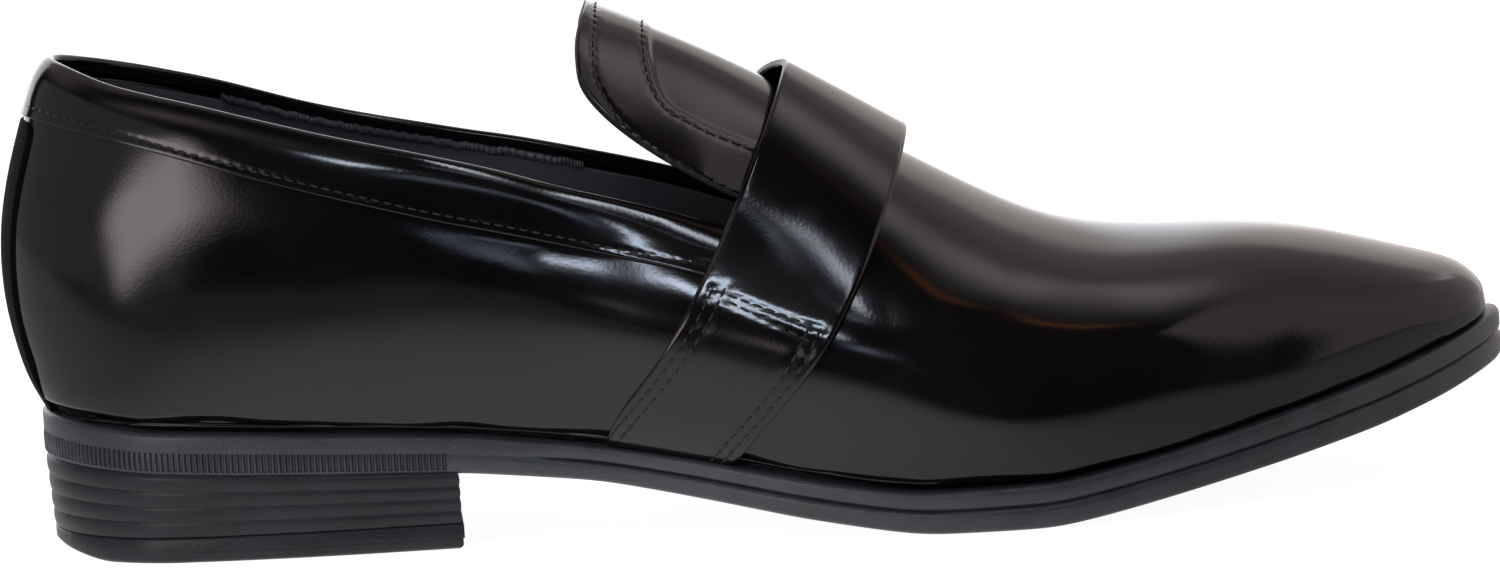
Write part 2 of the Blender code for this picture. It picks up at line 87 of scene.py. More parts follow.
LOWEST_CUTS = 2
HEEL_GRIP_END = 38  # station, mm
FOOT_MIDDLE = ((200, 45), (297.5, 33))  # station and height of the middle of the inside, mm
SWELL = 2.4 * MM
SWELL_ALONG = ((95, 0), (127, 1), (215, 1), (252, 0))  # station in mm, share
SWELL_HEIGHT = 26.0 * MM  # above the welt
SWELL_SPAN = 13.0 * MM
SWELL_LEVEL = ((172, 0), (195, 8))  # station, mm of its height over which it is even
SWELL_ASIDE = (12.0 * MM, 20.0 * MM)  # from the middle line: where it sets in, over what breadth
TOPLINE = (
    (1, 99.6), (5, 99.3), (18, 95), (38, 90.8), (62, 84.5), (97, 76.4), (134, 65.6), (160, 56),
)  # station and height, mm
RIM_OUTER = (
    (0, 1.2), (10, 1.2), (20, 0.8), (45, 0.0), (76, -0.6), (92, -1.2), (108, -2.0), (124, -1.6),
    (160, -1.6),
)  # mm that the topline lies above its solid's, on the outer side of the foot
RIM_INNER = (
    (0, 1.2), (10, 1.3), (19, 1.8), (36, 0.4), (54, -1.1), (71, -1.5), (90, -1.4), (107, -0.4),
    (125, 0.5), (160, 0.5),
)  # the same on the inner side
RIM_UNDER = 0.4  # mm that the upper's own edge stays under the topline
RIM_REACH = 22.0 * MM
RIM_END = (140, 155)  # stations between which the topline runs out under the strap
STRIP_EDGE = (
    (0, 90.2), (2.5, 89.7), (9, 88.3), (17.6, 86.1), (29.7, 82.6), (45.4, 77.5), (57.2, 74.0), (68.9, 70.6),
    (82.6, 66.6), (96.3, 63.2), (108, 60.2), (119.7, 57.2), (133.4, 53.9), (150, 49.5),
)  # lower edge of the collar strip: station, height, mm
HEEL_FILL = (
    (30, 0), (40, 0.2), (50, 1.2), (60, 1.8), (68, 2.1), (78, 1.8), (88, 1.4), (105, 1.4),
)  # height, mm that the heel is filled out
HEEL_FILL_END = 30  # station, mm
ROLL_REACH = 9.0 * MM
ROLL_SHAPE = ((-1.2, 0.3), (0, 1), (0.7, 0.27), (0.9, 0.07), (1.1, 0))  # reaches below the strip, share
ROLL_IN = (
    (66, 0), (80, 0.9), (92, 1.4), (104, 1.5), (116, 0.7), (124, 0.0), (131, -0.3), (145, 0),
)  # station, mm in


def select_only(piece):
    """Makes a piece the one that the next operators act on."""
    bpy.ops.object.select_all(action="DESELECT")
    piece.select_set(True)
    bpy.context.view_layer.objects.active = piece


def cad_copy(node, name, influence):
    """A copy of a CAD node with its triangles joined back into quads, more or less in a grid."""
    select_only(frame["nodes"][node])
    bpy.ops.object.duplicate()
    piece = bpy.context.object
    piece.name = piece.data.name = name
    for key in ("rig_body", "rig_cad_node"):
        del piece[key]
    piece.parent = None
    piece.data.materials.clear()
    bpy.ops.object.mode_set(mode="EDIT")
    bpy.ops.mesh.select_all(action="SELECT")
    bpy.ops.mesh.remove_doubles(threshold=1e-6)
    bpy.ops.mesh.customdata_custom_splitnormals_clear()
    bpy.ops.mesh.tris_convert_to_quads(
        face_threshold=math.pi, shape_threshold=math.pi, topology_influence=influence
    )
    bpy.ops.object.mode_set(mode="OBJECT")
    return piece


def round_off(piece, levels):
    """Rounds a piece's facets into one flowing surface."""
    select_only(piece)
    rounding = piece.modifiers.new("rounding", "SUBSURF")
    rounding.levels = rounding.render_levels = levels
    bpy.ops.object.modifier_apply(modifier=rounding.name)
    bpy.ops.object.shade_smooth()


def stations(points):
    """Distance of points from the back of the sole, in mm."""
    return np.asarray(points)[..., 0] / MM + HEEL_CENTRE


def surface(piece):
    """Places and outward normals of a piece's vertices."""
    places = np.empty(len(piece.data.vertices) * 3)
    normals = np.empty(len(piece.data.vertices) * 3)
    piece.data.vertices.foreach_get("co", places)
    piece.data.vertices.foreach_get("normal", normals)
    return places.reshape(-1, 3), normals.reshape(-1, 3)


def reshape(piece, places):
    """Gives a piece's vertices their new places."""
    piece.data.vertices.foreach_set("co", np.asarray(places).ravel())
    piece.data.update()


def ease(share):
    """A share from 0 to 1 that starts and ends softly."""
    share = np.clip(share, 0, 1)
    return share * share * (3 - 2 * share)


def look_up(table, at):
    """A table's value at places, straight between its rows."""
    return np.interp(at, *zip(*table))


def welt_lift(places):
    """Height of places above the top of the welt."""
    return places[:, 2] - look_up(WELT_TOP, stations(places)) * MM


def swell(places):
    """Fills the sides out below the instep, where the wall stands more upright than its solid."""
    along = stations(places)
    lift = welt_lift(places)
    even = look_up(SWELL_LEVEL, along) * MM
    off = np.maximum(np.abs(lift - SWELL_HEIGHT) - even, 0) / SWELL_SPAN
    amount = ease(look_up(SWELL_ALONG, along)) * np.exp(-(off**2))
    aside = ease((np.abs(places[:, 1]) - SWELL_ASIDE[0]) / SWELL_ASIDE[1])
    places[:, 1] += np.sign(places[:, 1]) * SWELL * amount * aside
    return places


def fill_heel(places):
    """Fills the back of the heel out, where the stiffened counter is rounder than its solid."""
    share = ease(1 - stations(places) / HEEL_FILL_END)
    places[:, 0] -= look_up(HEEL_FILL, places[:, 2] / MM) * MM * share
    return places


def rim_shift(places):
    """How much higher the topline lies than its solid's, in mm."""
    along = stations(places)
    return np.where(places[:, 1] < 0, look_up(RIM_OUTER, along), look_up(RIM_INNER, along))


def draw_topline(places):
    """Brings the topline to its height, and rolls the quarters in where the collar strip is sewn on."""
    along = stations(places)
    share = ease(1 - (look_up(TOPLINE, along) * MM - places[:, 2]) / RIM_REACH)
    share *= ease((RIM_END[1] - along) / (RIM_END[1] - RIM_END[0]))
    under = look_up(STRIP_EDGE, along) * MM - places[:, 2]
    roll = look_up(ROLL_SHAPE, under / ROLL_REACH) * look_up(ROLL_IN, along) * MM
    places[:, 2] += (rim_shift(places) - RIM_UNDER) * MM * share
    places[:, 1] -= np.sign(places[:, 1]) * roll
    return places


def colour(hex_code):
    """Linear RGBA of an sRGB hex colour."""
    channels = [int(hex_code[i : i + 2], 16) / 255 for i in (1, 3, 5)]
    return [c / 12.92 if c <= 0.04045 else ((c + 0.055) / 1.055) ** 2.4 for c in channels] + [1.0]


def add_node(tree, kind, settings=None, **inputs):
    """Adds a node with its settings. An input takes another node's socket, or a constant."""
    made = tree.nodes.new(kind)
    for key, value in (settings or {}).items():
        setattr(made, key, value)
    for key, value in inputs.items():
        socket = made.inputs[key.replace("_", " ")]
        if isinstance(value, bpy.types.NodeSocket):
            tree.links.new(value, socket)
        else:
            socket.default_value = value
    return made


def new_material(name, base, roughness):
    """A material's tree and shader, with its even colour and roughness, and its place on the piece."""
    material = bpy.data.materials.new(name)
    material.use_nodes = True
    tree = material.node_tree
    shader = tree.nodes["Principled BSDF"]
    shader.inputs["Base Color"].default_value = colour(base)
    shader.inputs["Roughness"].default_value = roughness
    return material, tree, shader, add_node(tree, "ShaderNodeTexCoord").outputs["Object"]


# Calf leather under layers of wax: brown-black depth, a mirror gloss that breaks up a little where
# the wax is thinner, fine pores and the slow ripple of a hide.
CALF, tree, shader, place = new_material("polished_calf", "#0d0b0b", 0.12)
cloud = add_node(tree, "ShaderNodeTexNoise", Vector=place, Scale=1 / (45 * MM), Detail=3.0)
tone = add_node(tree, "ShaderNodeValToRGB", Fac=cloud.outputs["Fac"])
tone.color_ramp.elements[0].position = 0.35
tone.color_ramp.elements[0].color = colour("#0b0a0b")
tone.color_ramp.elements[1].position = 0.7
tone.color_ramp.elements[1].color = colour("#151214")
tree.links.new(tone.outputs["Color"], shader.inputs["Base Color"])
wax = add_node(tree, "ShaderNodeTexNoise", Vector=place, Scale=1 / (12 * MM), Detail=4.0)
gloss = add_node(
    tree, "ShaderNodeMapRange", Value=wax.outputs["Fac"],
    From_Min=0.3, From_Max=0.7, To_Min=0.08, To_Max=0.14,
)
tree.links.new(gloss.outputs["Result"], shader.inputs["Roughness"])
hide = add_node(tree, "ShaderNodeTexNoise", Vector=place, Scale=1 / (18 * MM), Detail=1.0)
pores = add_node(tree, "ShaderNodeTexNoise", Vector=place, Scale=1 / (0.7 * MM), Detail=2.0)
slow = add_node(tree, "ShaderNodeBump", Height=hide.outputs["Fac"], Distance=0.5 * MM, Strength=0.2)
fine = add_node(
    tree, "ShaderNodeBump", Height=pores.outputs["Fac"], Distance=0.03 * MM, Strength=0.3,
    Normal=slow.outputs["Normal"],
)
tree.links.new(fine.outputs["Normal"], shader.inputs["Normal"])

# Glazed lining leather: black, satin, with a soft grain. Its colour is painted a lighter dark blue-grey:
# painted light for the inside of the shoe, which the lamps barely reach.
PAINTED_LIGHT_LINING, tree, shader, place = new_material("lining_leather_painted_light", "#54575e", 0.28)
grain = add_node(tree, "ShaderNodeTexNoise", Vector=place, Scale=1 / (1.2 * MM), Detail=3.0)
bump = add_node(tree, "ShaderNodeBump", Height=grain.outputs["Fac"], Distance=0.08 * MM, Strength=0.5)
tree.links.new(bump.outputs["Normal"], shader.inputs["Normal"])

# Suede grip inside the heel: dark grey, matt and napped. Its colour is painted a lighter grey: painted light
# for the back of the inside, which the lamps barely reach.
PAINTED_LIGHT_SUEDE, tree, shader, place = new_material("heel_grip_suede_painted_light", "#56565d", 0.95)
shader.inputs["Sheen Weight"].default_value = 0.3
nap = add_node(tree, "ShaderNodeTexNoise", Vector=place, Scale=1 / (0.8 * MM), Detail=3.0)
bump = add_node(tree, "ShaderNodeBump", Height=nap.outputs["Fac"], Distance=0.12 * MM, Strength=0.6)
tree.links.new(bump.outputs["Normal"], shader.inputs["Normal"])


def cut_edges(piece, wanted, cuts):
    """Cuts the edges of a piece that a test finds, and the faces between them."""
    select_only(piece)
    bpy.context.tool_settings.mesh_select_mode = (False, True, False)
    bpy.ops.object.mode_set(mode="EDIT")
    bpy.ops.mesh.select_all(action="DESELECT")
    bpy.ops.object.mode_set(mode="OBJECT")
    for edge in piece.data.edges:
        edge.select = bool(wanted(*edge.vertices))
    bpy.ops.object.mode_set(mode="EDIT")
    bpy.ops.mesh.subdivide(number_cuts=cuts)
    bpy.ops.object.mode_set(mode="OBJECT")


upper = cad_copy("upper", "upper_leather", 1.2)
for finish in (CALF, PAINTED_LIGHT_LINING, PAINTED_LIGHT_SUEDE):
    upper.data.materials.append(finish)
for face in upper.data.polygons:
    foot = Vector((face.center.x, 0.0, look_up(FOOT_MIDDLE, stations(face.center)) * MM))
    inside = face.normal.dot(face.center - foot) < 0
    face.material_index = (2 if stations(face.center) < HEEL_GRIP_END else 1) if inside else 0
lift = welt_lift(surface(upper)[0])


def is_lowest_row(a, b):
    """Whether an edge between two vertices climbs the lowest row of faces."""
    return min(lift[a], lift[b]) < LOWEST_ROW[0] and abs(lift[a] - lift[b]) > LOWEST_ROW[1]


cut_edges(upper, is_lowest_row, LOWEST_CUTS)
round_off(upper, 2)
reshape(upper, draw_topline(fill_heel(swell(surface(upper)[0]))))
places, normals = surface(upper)
along = stations(places)
lift = welt_lift(places)
wave = np.sin(along / PLEAT_WAVES[0]) * np.sin(along / PLEAT_WAVES[1] + 1.0)
wave += FINE_PLEATS * np.sin(along / PLEAT_WAVES[2] + np.sign(places[:, 1]))
outer = np.einsum("ij,ij->i", normals[:, 1:], places[:, 1:] - [0.0, FOOT_MIDDLE[0][1] * MM]) > 0
fade = np.exp(-((lift / PLEAT_REACH) ** 2)) * outer
sway = HEM_SWAY[0] * np.sin(along / HEM_WAVES[0] + np.sign(places[:, 1]))
sway += HEM_SWAY[1] * np.sin(along / HEM_WAVES[1] + 1) * np.sin(along / HEM_WAVES[2])
toward_toe = ease((along - HEM_TOE[0]) / HEM_TOE[1])
hem = HEM_HEIGHT + sway - (HEM_DROP[0] + HEM_DROP[1] * sway) * toward_toe
tuck = ease((hem - lift / MM) / TUCK_SLOPE + 0.5) * outer
reshape(upper, places + normals * (wave * fade * PLEAT_DEPTH - tuck * TUCK_DEPTH)[:, None])
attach(upper, "root")
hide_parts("upper")

# Sock: the thin leather that the foot stands on, cut to the inside of the shoe and glued over the
# insole board. It is the same glazed leather as the lining.
SOCK_CORNER = math.radians(40)
sock = cad_copy("insole", "sock", 0.0)
sock.data.materials.append(PAINTED_LIGHT_LINING)
bpy.ops.object.shade_smooth_by_angle(angle=SOCK_CORNER)
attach(sock, "root")
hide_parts("insole")

# Collar strip: a band of the same leather, sewn round the collar near its lower edge, rolled over the
# topline and sewn down again inside, where its edge gathers. Its cut edge is stained brown.
STRIP_STAND = 1.1  # mm off the quarter
STRIP_BACK = 0.05  # mm off the quarter, the strip's own back
CUT_FRONT = ((0.55, 0.0), (1.0, 0.0), (STRIP_STAND, 0.15))  # its lower edge: mm out, mm up
CUT_BACK = ((STRIP_BACK, 0.15), (0.1, 0.0))
STRIP_FOLD = (
    (0.77, -1.9), (0.66, -1.3), (0.52, -0.75), (0.32, -0.2), (0.08, 0.22), (-0.24, 0.56),
    (-0.6, 0.75), (-1.0, 0.8), (-1.4, 0.7), (-1.72, 0.42), (-1.92, 0.0), (-2.02, -0.55),
    (-2.07, -1.15), (-2.0, -1.7), (-1.78, -2.0), (-1.5, -1.85), (-1.35, -1.3), (-1.27, -0.7),
    (-1.12, -0.3), (-0.88, -0.15), (-0.62, -0.3), (-0.38, -0.9), (-0.15, -1.7), (0.0, -2.3),
)  # over the topline and down inside: mm out from the quarter, mm above the topline
STRIP_ROLL = 1.2  # mm that it turns in, times the cube of the share of its height past the start
STRIP_ROLL_START = 0.42  # share of its height
FOLD_START = 2.5  # mm below the topline
SKIVE = 2.6 * MM  # the upper is cut this far below the fold
SKIVE_REACH = 6.0 * MM
FOLD_EDGE = 14  # the fold's point that hangs lowest inside
STRIP_ROWS = 11
SURE_WALL = 133  # station up to which the quarter carries the strip's whole height, mm
STRIP_STEP = 1.6 * MM
UNDER_STRAP = 14.0 * MM
RIM_BAND = 2.5 * MM  # the solid's points this near the topline,
RIM_CLEAR = 0.7 * MM  # and this far off the upper, are its outer top edge
RIM_PIVOT = 140  # station about which they are put in order
FEELER = (25.0 * MM, 32.0 * MM)  # the quarter is felt for from this far outside, over this length


def skin(piece):
    """A piece's surface, for rays and nearest points."""
    return BVHTree.FromPolygons(
        [v.co for v in piece.data.vertices], [list(p.vertices) for p in piece.data.polygons]
    )


def smooth_line(points, steps=8):
    """A curve through a few points."""
    points = [Vector(p) for p in points]
    curve = []
    for i in range(len(points) - 1):
        before, start = points[max(i - 1, 0)], points[i]
        end, after = points[i + 1], points[min(i + 2, len(points) - 1)]
        for t in np.linspace(0, 1, steps, endpoint=False):
            curve.append(
                0.5 * (
                    2 * start + (end - before) * t + (2 * before - 5 * start + 4 * end - after) * t**2
                    + (3 * start - before - 3 * end + after) * t**3
                )
            )
    return curve + [points[-1]]


def even_steps(points, step):
    """Places at even steps along a line."""
    points = np.array(points)
    lengths = np.concatenate(([0.0], np.cumsum(np.linalg.norm(np.diff(points, axis=0), axis=1))))
    wanted = np.linspace(0.0, lengths[-1], int(lengths[-1] / step))
    return np.stack([np.interp(wanted, lengths, points[:, k]) for k in range(points.shape[1])], 1)


def settle(rows, passes):
    """Evens out rows of values along their length."""
    rows = np.array(rows, float)
    for _ in range(passes):
        rows[1:-1] = 0.25 * rows[:-2] + 0.5 * rows[1:-1] + 0.25 * rows[2:]
    return rows


def unit(vectors):
    """Vectors brought to length 1."""
    return vectors / np.linalg.norm(vectors, axis=-1, keepdims=True)


def stack(name, rings):
    """A closed skin through rings of points. Its first and last ring are closed by rungs across."""
    count = len(rings[0])
    faces = []
    for base in range(0, (len(rings) - 1) * count, count):
        for i in range(count):
            after = (i + 1) % count
            faces.append((base + i, base + after, base + count + after, base + count + i))
    for base in (0, (len(rings) - 1) * count):
        faces.append((base, base + 1, base + count - 1))
        for i in range(1, (count - 1) // 2):
            faces.append((base + i, base + i + 1, base + count - i - 1, base + count - i))
        if count % 2 == 0:
            faces.append((base + count // 2 - 1, base + count // 2, base + count // 2 + 1))
    data = bpy.data.meshes.new(name)
    data.from_pydata(np.concatenate(rings).tolist(), [], faces)
    piece = bpy.data.objects.new(name, data)
    bpy.context.scene.collection.objects.link(piece)
    select_only(piece)
    bpy.ops.object.mode_set(mode="EDIT")
    bpy.ops.mesh.select_all(action="SELECT")
    bpy.ops.mesh.normals_make_consistent(inside=False)
    bpy.ops.object.mode_set(mode="OBJECT")
    return piece


# Cut leather edge, stained and waxed: dark brown, satin.
CUT_EDGE, tree, shader, place = new_material("stained_cut_edge", "#2b1d19", 0.35)
fibre = add_node(tree, "ShaderNodeTexNoise", Vector=place, Scale=1 / (0.5 * MM), Detail=3.0)
bump = add_node(tree, "ShaderNodeBump", Height=fibre.outputs["Fac"], Distance=0.1 * MM, Strength=0.5)
tree.links.new(bump.outputs["Normal"], shader.inputs["Normal"])

upper_skin = skin(upper)
band_points = np.unique(np.round(surface(frame["nodes"]["collar_band"])[0], 6), axis=0)
rim = [
    Vector(p) for p in fill_heel(band_points)
    if look_up(TOPLINE, stations(p)) * MM - p[2] < RIM_BAND and upper_skin.find_nearest(p)[3] > RIM_CLEAR
]
rim.sort(key=lambda p: math.atan2(p.y, (RIM_PIVOT - HEEL_CENTRE) * MM - p.x))
rim.insert(0, rim[0] + (rim[0] - rim[1]).normalized() * UNDER_STRAP)
rim.append(rim[-1] + (rim[-1] - rim[-2]).normalized() * UNDER_STRAP)
rim = settle(even_steps(smooth_line(rim), STRIP_STEP), passes=10)
way = unit(np.gradient(rim[:, :2], axis=0))
outward = np.column_stack((-way[:, 1], way[:, 0], np.zeros(len(way))))
outward *= np.sign(outward[len(outward) // 2, 0]) * -1
high = settle(look_up(TOPLINE, stations(rim)) + rim_shift(rim), passes=6) - FOLD_START
low = settle(look_up(STRIP_EDGE, stations(rim)), passes=6)
wall = np.empty((len(rim), STRIP_ROWS, 3))
for i in sorted(range(len(rim)), key=lambda i: abs(i - len(rim) / 2)):
    toward_back = 1 if i < len(rim) / 2 else -1
    for j, share in enumerate(np.linspace(0, 1, STRIP_ROWS)):
        start = Vector((*rim[i, :2], (low[i] + share * (high[i] - low[i])) * MM))
        start += Vector(outward[i]) * FEELER[0]
        spot = upper_skin.ray_cast(start, Vector(-outward[i]), FEELER[1])[0]
        if spot is None or stations(rim[i]) > SURE_WALL:
            spot = 2 * wall[i + toward_back, j] - wall[i + 2 * toward_back, j]
        wall[i, j] = spot
wall = settle(wall, passes=8)
rise = unit(settle(unit(np.gradient(wall, axis=1)), passes=20))
out = unit(settle(np.cross(np.gradient(wall, axis=0), rise), passes=20))
out *= np.sign(np.einsum("ijk,ik->ij", out, outward))[..., None]

# The wall is measured, so the upper's own edge can be cut back under the fold.
places = surface(upper)[0]
depth = look_up(TOPLINE, stations(places)) * MM + rim_shift(places) * MM - places[:, 2]
places[:, 2] -= SKIVE * ease(1 - depth / SKIVE_REACH) * (stations(places) < RIM_END[1])
reshape(upper, places)


def strip_row(row, stand, lift=0.0):
    """A line along the collar: a row of the quarter's wall, moved mm out and mm up."""
    return wall[:, row] + (out[:, row] * stand + rise[:, row] * lift) * MM


rows = [strip_row(0, stand, lift) for stand, lift in CUT_FRONT]
for j in range(1, STRIP_ROWS):
    past = max(0.0, j / (STRIP_ROWS - 1) - STRIP_ROLL_START)
    rows.append(strip_row(j, STRIP_STAND - STRIP_ROLL * past**3))
rows += [strip_row(-1, stand, lift + FOLD_START) for stand, lift in STRIP_FOLD]
rows += [strip_row(j, STRIP_BACK) for j in range(STRIP_ROWS - 2, 0, -1)]
rows += [strip_row(0, stand, lift) for stand, lift in CUT_BACK]
strip = stack("collar_strip", np.stack(rows, 1))
strip.data.materials.append(CALF)
strip.data.materials.append(CUT_EDGE)
for face in strip.data.polygons:
    face.material_index = 1 if face.index % len(rows) in (0, len(rows) - 1) else 0
round_off(strip, 1)
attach(strip, "root")
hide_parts("collar_band")

# Gathered lining edge: inside the collar the lining is sewn to the strip's folded edge, and the seam
# draws it up into small puckers on both sides, ahead of the heel grip.
GATHER_ENDS = (38, 113)  # stations, mm
GATHER_STEP = 0.4 * MM
GATHER_SEAT = (0.1, -0.8)  # mm out and up from the fold's lowest point
GATHER_SWAY = ((0.18, 3.1 * MM), (0.1, 1.7 * MM))  # mm up and down, length a radian
PUCKER_PITCH = 2.6 * MM
PUCKER_DRIFT = (0.5, 5.0 * MM)  # radians that the puckers wander, length a radian
PUCKER_FAT = (0.65, 0.5)  # size between two puckers, and how much larger a pucker is
PUCKER_BREADTH = 0.9  # mm for each unit of size
PUCKER_HEIGHT = (0.4, 0.6)  # mm, and mm more for each unit of size
PUCKER_SIDES = 10
hem_line = strip_row(-1, STRIP_FOLD[FOLD_EDGE][0], STRIP_FOLD[FOLD_EDGE][1] + FOLD_START)
for name, side in (("gather_outer", -1), ("gather_inner", 1)):
    along = stations(hem_line)
    kept = (along > GATHER_ENDS[0]) & (along < GATHER_ENDS[1]) & (hem_line[:, 1] * side > 0)
    seam = even_steps(np.hstack((hem_line[kept], out[kept, -1], rise[kept, -1])), GATHER_STEP)
    at = np.arange(len(seam)) * GATHER_STEP
    drift = PUCKER_DRIFT[0] * np.sin(at / PUCKER_DRIFT[1])
    plump = PUCKER_FAT[0] + PUCKER_FAT[1] * np.abs(np.sin(math.pi * at / PUCKER_PITCH + drift))
    sway = sum(height * np.sin(at / length) for height, length in GATHER_SWAY)
    rings = []
    for (x, y, z, *frame_of), fat, shift in zip(seam, plump, sway):
        off, up = np.array(frame_of[:3]), np.array(frame_of[3:])
        middle = np.array((x, y, z)) + (off * GATHER_SEAT[0] + up * (shift + GATHER_SEAT[1])) * MM
        turn = np.linspace(0, 2 * math.pi, PUCKER_SIDES, endpoint=False)[:, None]
        breadth = off * np.cos(turn) * fat * PUCKER_BREADTH
        height = up * np.sin(turn) * (PUCKER_HEIGHT[0] + PUCKER_HEIGHT[1] * fat)
        rings.append(middle + (breadth + height) * MM)
    gather = stack(name, rings)
    gather.data.materials.append(PAINTED_LIGHT_LINING)
    gather.data.shade_smooth()
    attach(gather, "root")

# Back strip: a tape of woven webbing that covers the seam between the quarters, sewn on from under
# the collar strip down to the sole.
TAPE_TUCK = 2.5 * MM  # its lower end runs on behind the welt
TAPE_TUCK_REACH = 6.0 * MM
TAPE_FACE = 0.9 * MM  # off the upper
TAPE_BACK = -0.3 * MM
TAPE_MIDDLE = 1.0 * MM  # the solid's points further off the upper than this are on its face
TAPE_EDGE = 1.8 * MM  # narrower faces are its edge
TAPE_CRISP = 0.6

# Woven polyester tape: matte black, with fine cross ribs.
WEBBING, tree, shader, place = new_material("woven_webbing", "#070708", 0.85)
ribs = add_node(
    tree, "ShaderNodeTexWave", {"bands_direction": "Z"}, Vector=place,
    Scale=1 / (1.2 * MM) / 3.0, Distortion=1.5,
)
bump = add_node(tree, "ShaderNodeBump", Height=ribs.outputs["Fac"], Distance=0.15 * MM, Strength=0.6)
tree.links.new(bump.outputs["Normal"], shader.inputs["Normal"])
shader.inputs["Specular IOR Level"].default_value = 0.15


def narrowest(piece, face):
    """The shortest side of a face."""
    vertices = piece.data.vertices
    return min((vertices[a].co - vertices[b].co).length for a, b in face.edge_keys)


def square_edges(piece, is_cut, amount):
    """Keeps the corners between a leather piece's cut edge and its faces crisp."""
    mesh = bmesh.new()
    mesh.from_mesh(piece.data)
    crease = mesh.edges.layers.float.new("crease_edge")
    cut = {face.index for face in piece.data.polygons if is_cut(face)}
    for edge in mesh.edges:
        if len({face.index in cut for face in edge.link_faces}) == 2:
            edge[crease] = amount
    mesh.to_mesh(piece.data)
    mesh.free()


tape = cad_copy("back_strip", "back_webbing", 1.0)
tape.data.materials.append(WEBBING)
places = fill_heel(surface(tape)[0])
places[:, 2] -= TAPE_TUCK * ease(1 - welt_lift(places) / TAPE_TUCK_REACH)
reshape(tape, places)
for vertex in tape.data.vertices:
    spot, normal, _, far = upper_skin.find_nearest(vertex.co)
    vertex.co = spot + normal * (TAPE_FACE if far > TAPE_MIDDLE else TAPE_BACK)
square_edges(tape, lambda f: narrowest(tape, f) < TAPE_EDGE, TAPE_CRISP)
round_off(tape, 3)
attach(tape, "root")
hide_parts("back_strip")

# Tongue: a stiff flap of two layers with a facing sewn round its edge, which steps down to the bare
# flap inside the second row of stitches. Its end is cut square and left raw.
TONGUE_ROW_1 = (
    (143.3, 68.6), (139.5, 70.8), (134.7, 73.4), (129.7, 76.6), (125.9, 79.5), (122.5, 82.6), (119.9, 85.8),
    (118.1, 89.0), (116.8, 92.3), (116.6, 95.0), (116.8, 98.6), (117.3, 102.1),
)  # station and height, mm
TONGUE_ROW_2 = (
    (160, 70), (152, 73.4), (147.8, 75.3), (144.9, 76.7), (141.6, 78.3), (137.9, 80.1), (134.2, 82.4),
    (131.3, 84.1), (129.3, 86.2), (128.0, 88.5), (127.2, 91.1), (126.6, 95.7), (126.5, 98.4),
)
TONGUE_PITCH = 2.7 * MM  # of its stitches
TONGUE_PRESS = (0.2 * MM, 0.7 * MM)  # depth and breadth of the hollow along them
TONGUE_EDGE = 2.2 * MM  # narrower faces are its raw end
TONGUE_CRISP = 0.7
FACING_STEP = 0.35 * MM
FACING_MARGIN = 1.6 * MM
FACING_RAMP = 1.2 * MM
FACING_REACH = 3.0 * MM  # how far past the row's ends the step still runs
FACING_FRONT = 0.2  # vertices that look outward less than this are left alone
FLARE = 5.0 * MM
FLARE_RISE = 0.137  # share of its spread
FLARE_ASIDE = 20.0 * MM  # from the middle line, where it is whole
FLARE_REACH = 22.0 * MM
FLARE_FADE = (136, 152)  # stations between which the strap presses it flat

# Raw end of the flap: cut leather and glue, rough and dead black.
RAW_END, tree, shader, place = new_material("raw_leather_end", "#0b0b0b", 0.7)
fibre = add_node(tree, "ShaderNodeTexNoise", Vector=place, Scale=1 / (0.9 * MM), Detail=4.0)
bump = add_node(tree, "ShaderNodeBump", Height=fibre.outputs["Fac"], Distance=0.5 * MM, Strength=1.0)
tree.links.new(bump.outputs["Normal"], shader.inputs["Normal"])

# How a sewn row is laid on a piece, and how it draws the leather in.
DRAPE_FROM = 200.0 * MM  # to the side of the shoe
CREST_STEPS = 14
CREST_ABOVE = 50.0 * MM
ROW_STEP = 0.5 * MM
FINE_STEP = 0.3 * MM
HOLE_SHARE = 0.3  # of the hollow's depth, at the needle holes alone
PRESS_REACH = 3  # breadths of the hollow
BACK_FACE = 0.3  # vertices that look inward more than this are left alone


def drape(tree, line, side):
    """Lays a line of (station, height) mm on a piece, as seen from one side of the shoe."""
    laid = []
    for station, height in smooth_line(line):
        start = Vector(((station - HEEL_CENTRE) * MM, side * DRAPE_FROM, height * MM))
        spot = tree.ray_cast(start, Vector((0, -side, 0)))[0]
        if spot:
            laid.append(spot)
    return laid


def cross_over(tree, start, end):
    """Points from one side of the crest to the other, laid on a piece from above."""
    laid = []
    for share in np.linspace(0, 1, CREST_STEPS)[1:-1]:
        above = start.lerp(end, share) + Vector((0, 0, CREST_ABOVE))
        laid.append(tree.ray_cast(above, Vector((0, 0, -1)))[0])
    return laid


def walk(tree, points, step):
    """Even steps along a line on a piece: place, direction and outward normal of each."""
    fine = []
    for a, b in zip(points, points[1:]):
        count = max(1, int((b - a).length / FINE_STEP))
        fine += [tree.find_nearest(a.lerp(b, i / count))[0] for i in range(count)]
    lengths = np.cumsum([0.0] + [(b - a).length for a, b in zip(fine, fine[1:])])
    wanted = np.arange(step / 2, lengths[-1], step)
    array = np.array(fine)
    spots = np.stack([np.interp(wanted, lengths, array[:, k]) for k in range(3)], 1)
    ahead = np.stack([np.interp(wanted + ROW_STEP, lengths, array[:, k]) for k in range(3)], 1)
    behind = np.stack([np.interp(wanted - ROW_STEP, lengths, array[:, k]) for k in range(3)], 1)
    steps = []
    for spot, way in zip(spots, ahead - behind):
        steps.append((Vector(spot), Vector(way).normalized(), tree.find_nearest(spot)[1]))
    return steps


def nearest_of(points):
    """A search tree that finds the nearest of some points."""
    found = KDTree(len(points))
    for i, point in enumerate(points):
        found.insert(point, i)
    found.balance()
    return found


